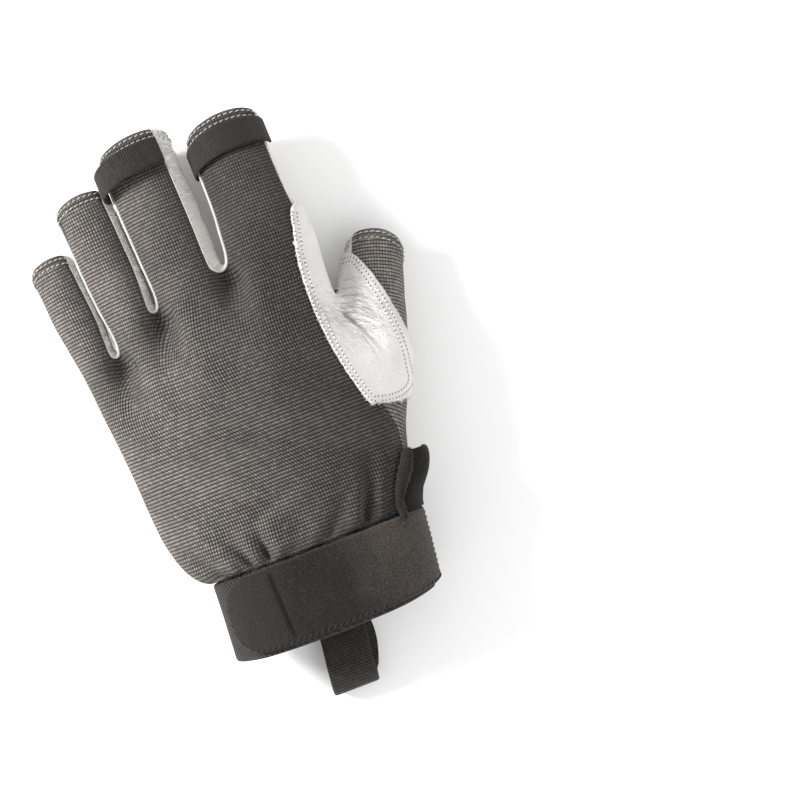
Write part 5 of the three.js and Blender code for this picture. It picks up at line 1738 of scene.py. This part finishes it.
class GLOVE_OT_pull_tabs(bpy.types.Operator):
    """Webbing tabs over the middle and index fingers"""
    bl_idname = "glove.pull_tabs"
    bl_label = "Pull tabs"

    def execute(self, context):
        material = ribbed_material("tab_webbing", "webbing", sizes().web_rib, 0.0012, 0.1, 0.0003,
                                   gap=0.28, bright=1.9)
        for tab in TABS:
            def point(v, u, tab=tab):
                return tab_point(tab, v, u, SEAM_GAP + TAB_WALL)

            reach = reach_of([tab_point(tab, .5, i / 24, 0) for i in range(25)])
            obj = grid_sheet(tab["name"].replace("pull_tab", "webbing_tab"), 8, 56, point, (reach, 0),
                             (0, TAB_WIDTH))
            obj.data.materials.append(material)
            thicken(obj, TAB_WALL)
            aside = local_of(coordinates(obj))[:, 0] - FINGERS[tab["finger"]]["base_x"] * WIDTH - 1.5
            set_mask(obj, "plain", tab["plain"] * np.clip(1.6 - np.abs(aside) / 5.5, 0, 1))
            finish_piece(obj, tab["name"])
        return {"FINISHED"}


def over_hand(share, angle, out):
    """A point over the hand's own section, pushed straight out of it in the section's plane."""
    point = hand_point(share, angle)
    away = point - (hand_point(share, 90) + hand_point(share, -90)) / 2
    away.y = 0
    return point + away.normalized() * out


class GLOVE_OT_wrist_slit(bpy.types.Operator):
    """Rolled binding and folded dark gusset at the wrist slit"""
    bl_idname = "glove.wrist_slit"
    bl_label = "Wrist slit"

    def execute(self, context):
        self.make_gusset()
        self.make_binding()
        return {"FINISHED"}

    @staticmethod
    def make_gusset():
        """The folded cloth beside the slit."""
        def fold(v, u):
            dome = max(0.0, math.sin(math.pi * u)) ** .6 * (1 - v ** 5) ** .5
            dome *= lerp(.35, 1.15, ease(v, 0, .6))
            puff = (GUSSET_PUFF + 0.3 * math.sin(v * 5 - u * 3)) * dome
            return over_hand(lerp(-.007, .96 * SLIT_TOP, v), lerp(36 - 11 * v, -12 + 3 * v, u),
                             SEAM_GAP + .5 + GUSSET_WALL + puff)

        gusset = grid_sheet("gusset_cloth", 26, 30, fold, (16, 0), (0, 18))
        gusset.data.materials.append(felt_material("gusset_cloth", 0.5, 0.1))
        thicken(gusset, GUSSET_WALL)
        finish_piece(gusset, "slit_gusset")
        steps = spread(0, 1, 40)
        runs = [fold(.4, step) for step in steps], [fold(step, .5) for step in steps]
        [reach_of(run) * MM for run in runs]

    @staticmethod
    def make_binding():
        """The uneven roll along the slit's edge."""
        clear = BINDING_RADIUS + SEAM_GAP + .75
        line = [placed(over_hand(row["share"], row["angle"], clear + row["rise"])) for row in BINDING]
        line = resample(soften(resample(line, .0015), 4), .0006)
        radii = []
        for i in range(len(line)):
            end = 0.55 + 0.45 * ease(min(i, len(line) - 1 - i) / 4, 0, 1)
            lobes = 1.3 + 0.34 * math.cos(2 * math.pi * (i / len(line) - 0.68))
            uneven = 1 + 0.22 * noise.noise(Vector((i * 0.35, 3.0, 1.0)))
            radii.append(BINDING_RADIUS * MM * end * lobes * uneven)
        binding = join_parts("slit_binding_roll", [tube_along(line, radii, 14)])
        binding.data.materials.append(felt_material("binding_fuzz", 0.9, 0.9))
        points, out = coordinates(binding).astype(float), normals_of(binding)
        push_out(binding, points, out, ripple(points, 800.0, 41.0) * 0.3)
        set_mask(binding, "edge", 0.5)
        finish_piece(binding, "slit_binding")


CUFF_END = cuff_point(1, -90).y


def centripetal(p, t):
    """A point of the centripetal curve between the second and third of four points."""
    knot = [0.0]
    for a, b in zip(p, p[1:]):
        knot.append(knot[-1] + (b - a).length ** .5)
    at = lerp(knot[1], knot[2], t)
    for order in (1, 2):
        p = [(a * (knot[i + order] - at) + b * (at - knot[i])) / (knot[i + order] - knot[i])
             for i, (a, b) in enumerate(zip(p, p[1:]))]
    return (p[0] * (knot[2] - at) + p[1] * (at - knot[1])) / (knot[2] - knot[1])


def loop_line():
    """The webbing's middle line: flat under the cuff, out, round and back inside it."""
    inside = CUFF_REST + CUFF_WALL + SEAM_GAP + .05
    knots = [(CUFF_END + share * CUFF_LENGTH, 0) for share in LOOP_UNDER]
    knots += [(CUFF_END - share * LOOP_REACH, height * LOOP_HOLLOW) for share, height in LOOP_PATH]
    knots += [(CUFF_END + share * CUFF_LENGTH, inside) for share in LOOP_INSIDE]
    line = [Vector((LOOP_PLACE * CUFF_WIDTH, y, z + LOOP_WALL / 2)) for y, z in knots]
    ends = [line[0] * 2 - line[1], *line, line[-1] * 2 - line[-2]]
    fine = [centripetal(p, n / 12) for p in zip(ends, ends[1:], ends[2:], ends[3:]) for n in range(12)]
    return resample([*fine, line[-1]], 0.9)


class GLOVE_OT_wrist_loop(bpy.types.Operator):
    """Webbing loop sewn under the cuff, reaching past its end"""
    bl_idname = "glove.wrist_loop"
    bl_label = "Wrist loop"

    def execute(self, context):
        line = loop_line()
        last = len(line) - 1
        reach = reach_of(line)

        def point(v, u):
            i, side = round(v * last), u - .5
            way = (line[min(i + 1, last)] - line[max(i - 1, 0)]).normalized()
            away = clamp((CUFF_END - line[i].y) / LOOP_REACH)
            aside = -3.2 * away + (2.6 * math.sin(math.pi * min(away * 1.02, 1)) if v < .5 else 0)
            return Vector((line[i].x + LOOP_WIDTH * side + aside, line[i].y - way.z * LOOP_WALL / 2,
                           max(line[i].z + way.y * LOOP_WALL / 2 + .5 * math.sin(math.pi * v) * side, 0)))

        obj = grid_sheet("loop_webbing", last, 10, point, (0, reach), (LOOP_WIDTH, 0))
        obj.data.materials.append(ribbed_material("loop_webbing", "loop", 0.00095, 0.0009, 0.2, 0.0003,
                                                  gap=0.3, bright=2.0))
        thicken(obj, -LOOP_WALL)
        points = coordinates(obj)
        points[:, 2] = np.maximum(points[:, 2], 0)
        move_to(obj, points)
        select_only(obj)
        bpy.ops.object.mode_set(mode="EDIT")
        bpy.ops.mesh.select_all(action="SELECT")
        bpy.ops.mesh.normals_make_consistent(inside=False)
        bpy.ops.object.mode_set(mode="OBJECT")
        finish_piece(obj, "wrist_loop")
        return {"FINISHED"}


# Stitching and loose fibres

def stitch_form(length, thickness):
    """One stitch: a short thread that rises out of its hole and dives into the next."""
    points, radii = [], []
    for t in spread(-1, 1, 6):
        points.append(Vector((t * length / 2, 0, thickness * (0.42 - 0.95 * t ** 4))))
        radii.append(thickness / 2 * (1 - 0.45 * abs(t) ** 3))
    return tube_along(points, radii, 6)


def hole_form(length, radius):
    """A dark flat spot past the end of a stitch, where the needle went in: painted shade in the hole."""
    sides, verts = 7, []
    for level, size in ((-0.00012, 1.0), (0.00006, 0.9)):
        for i in range(sides):
            a = 2 * math.pi * i / sides
            verts.append(Vector((HOLE_AT * length / 2 + size * radius * math.cos(a),
                                 size * radius * math.sin(a), level)))
    faces = [tuple(reversed(range(sides))), tuple(range(sides, 2 * sides))]
    for i in range(sides):
        j = (i + 1) % sides
        faces.append((i, j, sides + j, sides + i))
    return verts, faces


def above_floor(point):
    """The same point, or the one straight above it on the floor."""
    return Vector((point.x, point.y, max(point.z, 0.0)))


def sew(name, lines, tree, material_name, colour_name, length=None, pitch=None, slant=0.0, thick=None,
        holes=0.0):
    """Stitches along lines of points, laid on the surface, with needle holes if asked."""
    length = length or sizes().stitch
    form, form_faces = stitch_form(length, thick or sizes().thread)
    hole, hole_faces = hole_form(length, holes)
    threads, spots = [], []
    for line in lines:
        line = resample(line, pitch or sizes().stitch_pitch)
        for a, b in zip(line, line[1:]):
            found, normal, _, away = tree.find_nearest((a + b) / 2)
            if found is None or away > STITCH_SNAP:
                continue
            way = b - a
            way -= normal * way.dot(normal)
            if way.length < 1e-7:
                continue
            way.normalize()
            turn = Matrix((way, normal.cross(way), normal)).transposed()
            turn = turn @ Matrix.Rotation(math.radians(slant), 3, "Z")
            threads.append(([above_floor(found + turn @ p) for p in form], form_faces))
            spots.append(([above_floor(found + turn @ p) for p in hole], hole_faces))
    obj = join_parts(name, threads + spots if holes else threads)
    obj.data.materials.append(thread_material(material_name, colour_name))
    if holes:
        obj.data.materials.append(thread_material("needle_hole", "hole"))
        kinds = [0] * (len(threads) * len(form_faces)) + [1] * (len(spots) * len(hole_faces))
        obj.data.polygons.foreach_set("material_index", kinds)
    finish_piece(obj)


def fibres(name, lines, tree, colour_name, count, length, seed, lift):
    """Loose ends of thread along lines of points, each curling off the surface its own way."""
    chance = np.random.default_rng(seed)
    parts = []
    for _ in range(count):
        line = lines[int(chance.integers(len(lines)))]
        at = chance.random() * (len(line) - 1.001)
        spot = line[int(at)].lerp(line[int(at) + 1], at % 1)
        found, normal, _, away = tree.find_nearest(spot)
        if found is None or away > FIBRE_SNAP:
            continue
        way = Vector(chance.normal(size=3))
        way = (way - normal * way.dot(normal)).normalized() + normal * lift * chance.random()
        bend = Vector(chance.normal(size=3)) * 0.5
        reach = length * (0.4 + 0.9 * chance.random())
        curve = [found + way * reach * t + bend * reach * t * t * 0.6 for t in (0, .33, .66, 1)]
        curve = [Vector((p.x, p.y, max(p.z, 0.0001))) for p in curve]
        parts.append(tube_along(curve, FIBRE_RADII, 4))
    obj = join_parts(name, parts)
    obj.data.materials.append(thread_material(f"{colour_name}_fibre", colour_name))
    finish_piece(obj)


class GLOVE_OT_fuzz(bpy.types.Operator):
    """Frayed fibres at the raw edges of the cuff seam, the slit and the patch"""
    bl_idname = "glove.fuzz"
    bl_label = "Frayed fibres"

    def execute(self, context):
        data = bpy.data.objects
        seam = [[placed(cuff_point(.005, a, 0.6)) for a in range(148, 14, -2)]]
        slit = [[v.co.copy() for v in data["slit_binding_roll"].data.vertices][::3]]
        rim = [(p / MM - MIDDLE, p) for p in patch_rim(data["crotch_patch_leather"])]
        short = Vector((1e-5, 0, 0))
        low = [[p, p + short] for at, p in rim if at.y < 0.42 * LENGTH and p.z > 0.012]
        left = [[p, p + short] for at, p in rim if at.x < 0.42 * WIDTH and p.z > 0.018]
        for name, lines, pieces, colour, count, length, seed, lift in (
                ("cuff_fuzz", seam, ("cuff_knit", "back_fabric"), "dark_thread", 640, 0.0014, 51, 0.3),
                ("cuff_lint", seam, ("cuff_knit",), "fabric", 50, 0.0013, 52, 0.3),
                ("slit_fuzz", slit, ("slit_binding_roll",), "dark_thread", 420, 0.0008, 53, 0.4),
                ("patch_fuzz", low, ("crotch_patch_leather",), "leather", 260, 0.0011, 54, 0.3),
                ("patch_nap", left, ("crotch_patch_leather",), "thread", 260, 0.0006, 55, 0.3)):
            fibres(name, lines, bvh_of(*[data[piece] for piece in pieces]), colour, count, length, seed, lift)
        return {"FINISHED"}


class GLOVE_OT_stitching(bpy.types.Operator):
    """Rows of stitches along hems, patch, strap, cuff and wrist loop"""
    bl_idname = "glove.stitching"
    bl_label = "Stitching"

    def execute(self, context):
        data = bpy.data.objects
        names = ["back_fabric", "palm_leather", "thumb_fabric", *[f"{name}_leather" for name in PANELS[3:]]]
        hems = []
        for finger in FINGERS:
            for inset in HEM_ROWS:
                share = 1 - inset / (finger["length"] * LENGTH)
                hems.append([placed(finger_point(finger, share, a, 1.0)) for a in range(0, 361, 6)])
        for inset in HEM_ROWS:
            share = 1 - inset / THUMB_WAY.length
            hems.append([placed(thumb_point(share, a, 1.0)) for a in range(0, 361, 6)])
        sew("hem_stitching", hems, bvh_of(*[data[name] for name in names]), "hem_thread", "thread", slant=9)
        self.sew_patch(bvh_of(data["crotch_patch_leather"]))
        self.sew_strap(bvh_of(data["strap_felt"]))
        self.sew_loop(bvh_of(data["loop_webbing"]))
        return {"FINISHED"}

    @staticmethod
    def sew_patch(tree):
        """Two rows inside the patch's outline, seen from the back and from the palm."""
        def inset(rows, amount):
            corners = [Vector((x * WIDTH, y * LENGTH, 0)) for x, y in rows]
            found = []
            for i, point in enumerate(corners):
                a = (point - corners[i - 1]).normalized()
                b = (corners[(i + 1) % len(corners)] - point).normalized()
                left = Vector((-(a + b).y, (a + b).x, 0)).normalized()
                found.append(point + left * amount / max(0.5, left.dot(Vector((-a.y, a.x, 0)))))
            return found

        lines = []
        for rows, first, last, height, way in ((rounded(PATCH_BACK), 0, 68, 0.08, -1),
                                               (PATCH_PALM, 1, 4, -0.04, 1)):
            for amount in PATCH_ROWS:
                runs = [[]]
                for p in resample(inset(rows, amount)[first:last + 1], 1.0):
                    spot = placed(p)
                    spot.z = height
                    hit = tree.ray_cast(spot, Vector((0, 0, way)))[0]
                    if hit is None:
                        runs.append([])
                    else:
                        runs[-1].append(hit)
                lines += [run for run in runs if len(run) > 4]
        sew("patch_stitching", lines, tree, "patch_thread", "patch", length=0.0012, thick=0.00036,
            pitch=0.0015, holes=0.00031)

    @staticmethod
    def sew_strap(tree):
        """One row along the strap's lower edge and two across its fastened end."""
        out = SEAM_GAP + STRAP_WALL
        edge = [placed(strap_point(.045, u / 80, out)) for u in range(4, 80)]
        sew("strap_stitching", [edge], tree, "strap_thread", "dark_thread", slant=35, length=0.0017)
        ends = [[placed(strap_point(v / 20, u, out)) for v in range(1, 20)] for u in (.9, .93)]
        sew("strap_end_stitching", ends, tree, "strap_end_thread", "webbing_light", slant=20, length=0.0012,
            pitch=0.0019, thick=0.00034)

    @staticmethod
    def sew_loop(tree):
        """A box with crossed lines where the loop is sewn to the cuff."""
        left = LOOP_PLACE * CUFF_WIDTH - LOOP_WIDTH / 2 + LOOP_SEAM
        right = left + LOOP_WIDTH - 2 * LOOP_SEAM
        top = CUFF_END + CUFF_LENGTH * LOOP_UNDER[0] - LOOP_SEAM
        low = top - LOOP_BOX
        corners = (left, low), (right, low), (right, top), (left, top)
        a, b, c, d = [placed(Vector((x, y, -1))) for x, y in corners]
        sew("loop_stitching", [[a, b], [b, c], [c, d], [d, a], [a, c], [b, d]], tree, "loop_thread",
            "dark_thread", length=0.0016)


class GLOVE_OT_stage(bpy.types.Operator):
    """Pale floor, soft studio lights and the camera above the glove"""
    bl_idname = "glove.stage"
    bl_label = "Stage"

    def execute(self, context):
        scene = context.scene
        bpy.ops.object.select_all(action="DESELECT")
        bpy.ops.mesh.primitive_plane_add(size=6.0, location=(0, 0, -0.0002))
        floor = context.object
        floor.name = "floor"
        material, s = new_material("pale_floor")
        colour = s.mix(s.noise(s.place(), 3.0).ramp(0.3, 0.7), (0.90, 0.90, 0.90), (0.93, 0.93, 0.93))
        floor.data.materials.append(finish_material(material, s, colour, 0.9))
        world = bpy.data.worlds.new("studio")
        world.use_nodes = True
        background = world.node_tree.nodes["Background"].inputs
        background[0].default_value, background[1].default_value = (1, 1, 1, 1), 0.83
        scene.world = world
        scene.view_settings.view_transform = "Standard"
        for lamp in LAMPS:
            light = bpy.data.objects.new(lamp["name"], bpy.data.lights.new(lamp["name"], "AREA"))
            light.data.size, light.data.energy = lamp["size"], lamp["energy"]
            light.location = lamp["place"]
            light.rotation_euler = (-Vector(lamp["place"])).to_track_quat("-Z", "Y").to_euler()
            scene.collection.objects.link(light)
        camera = bpy.data.objects.new("camera", bpy.data.cameras.new("camera"))
        camera.location = CAMERA_TARGET + Vector((0, 0, 1.0))
        camera.rotation_euler = (0, 0, math.radians(-CAMERA_TURN))
        camera.data.angle = 2 * math.atan(HALF_VIEW)
        camera.data.clip_start, camera.data.clip_end = 0.05, 20
        scene.collection.objects.link(camera)
        scene.camera = camera
        return {"FINISHED"}


class GLOVE_PT_panel(bpy.types.Panel):
    """Lists the glove's pieces and their sizes and colours"""
    bl_idname = "GLOVE_PT_panel"
    bl_label = "Climbing glove"
    bl_space_type = "VIEW_3D"
    bl_region_type = "UI"
    bl_category = "Glove"

    def draw(self, context):
        for group in (sizes(), colours()):
            box = self.layout.box()
            for name in group.__annotations__:
                box.prop(group, name)
        for operator in OPERATORS:
            self.layout.operator(operator.bl_idname)


OPERATORS = (GLOVE_OT_back_fabric, GLOVE_OT_thumb_fabric, GLOVE_OT_palm_leather, GLOVE_OT_sidewalls,
             GLOVE_OT_crotch_patch, GLOVE_OT_cuff, GLOVE_OT_strap, GLOVE_OT_pull_tabs,
             GLOVE_OT_wrist_slit, GLOVE_OT_wrist_loop, GLOVE_OT_stitching, GLOVE_OT_fuzz, GLOVE_OT_stage)
CLASSES = (GloveSizes, GloveColours, *OPERATORS, GLOVE_PT_panel)


def register():
    """Adds the add-on's classes and properties."""
    for cls in CLASSES:
        bpy.utils.register_class(cls)
    bpy.types.Scene.glove_sizes = bpy.props.PointerProperty(type=GloveSizes)
    bpy.types.Scene.glove_colours = bpy.props.PointerProperty(type=GloveColours)


def unregister():
    """Takes them away again."""
    del bpy.types.Scene.glove_colours
    del bpy.types.Scene.glove_sizes
    for cls in reversed(CLASSES):
        bpy.utils.unregister_class(cls)


def main():
    """Builds the looks and the stage."""
    register()
    for operator in OPERATORS:
        group, name = operator.bl_idname.split(".")
        getattr(getattr(bpy.ops, group), name)()
    bpy.data.objects.remove(glove_shell().obj)


if __name__ == "__main__":
    main()
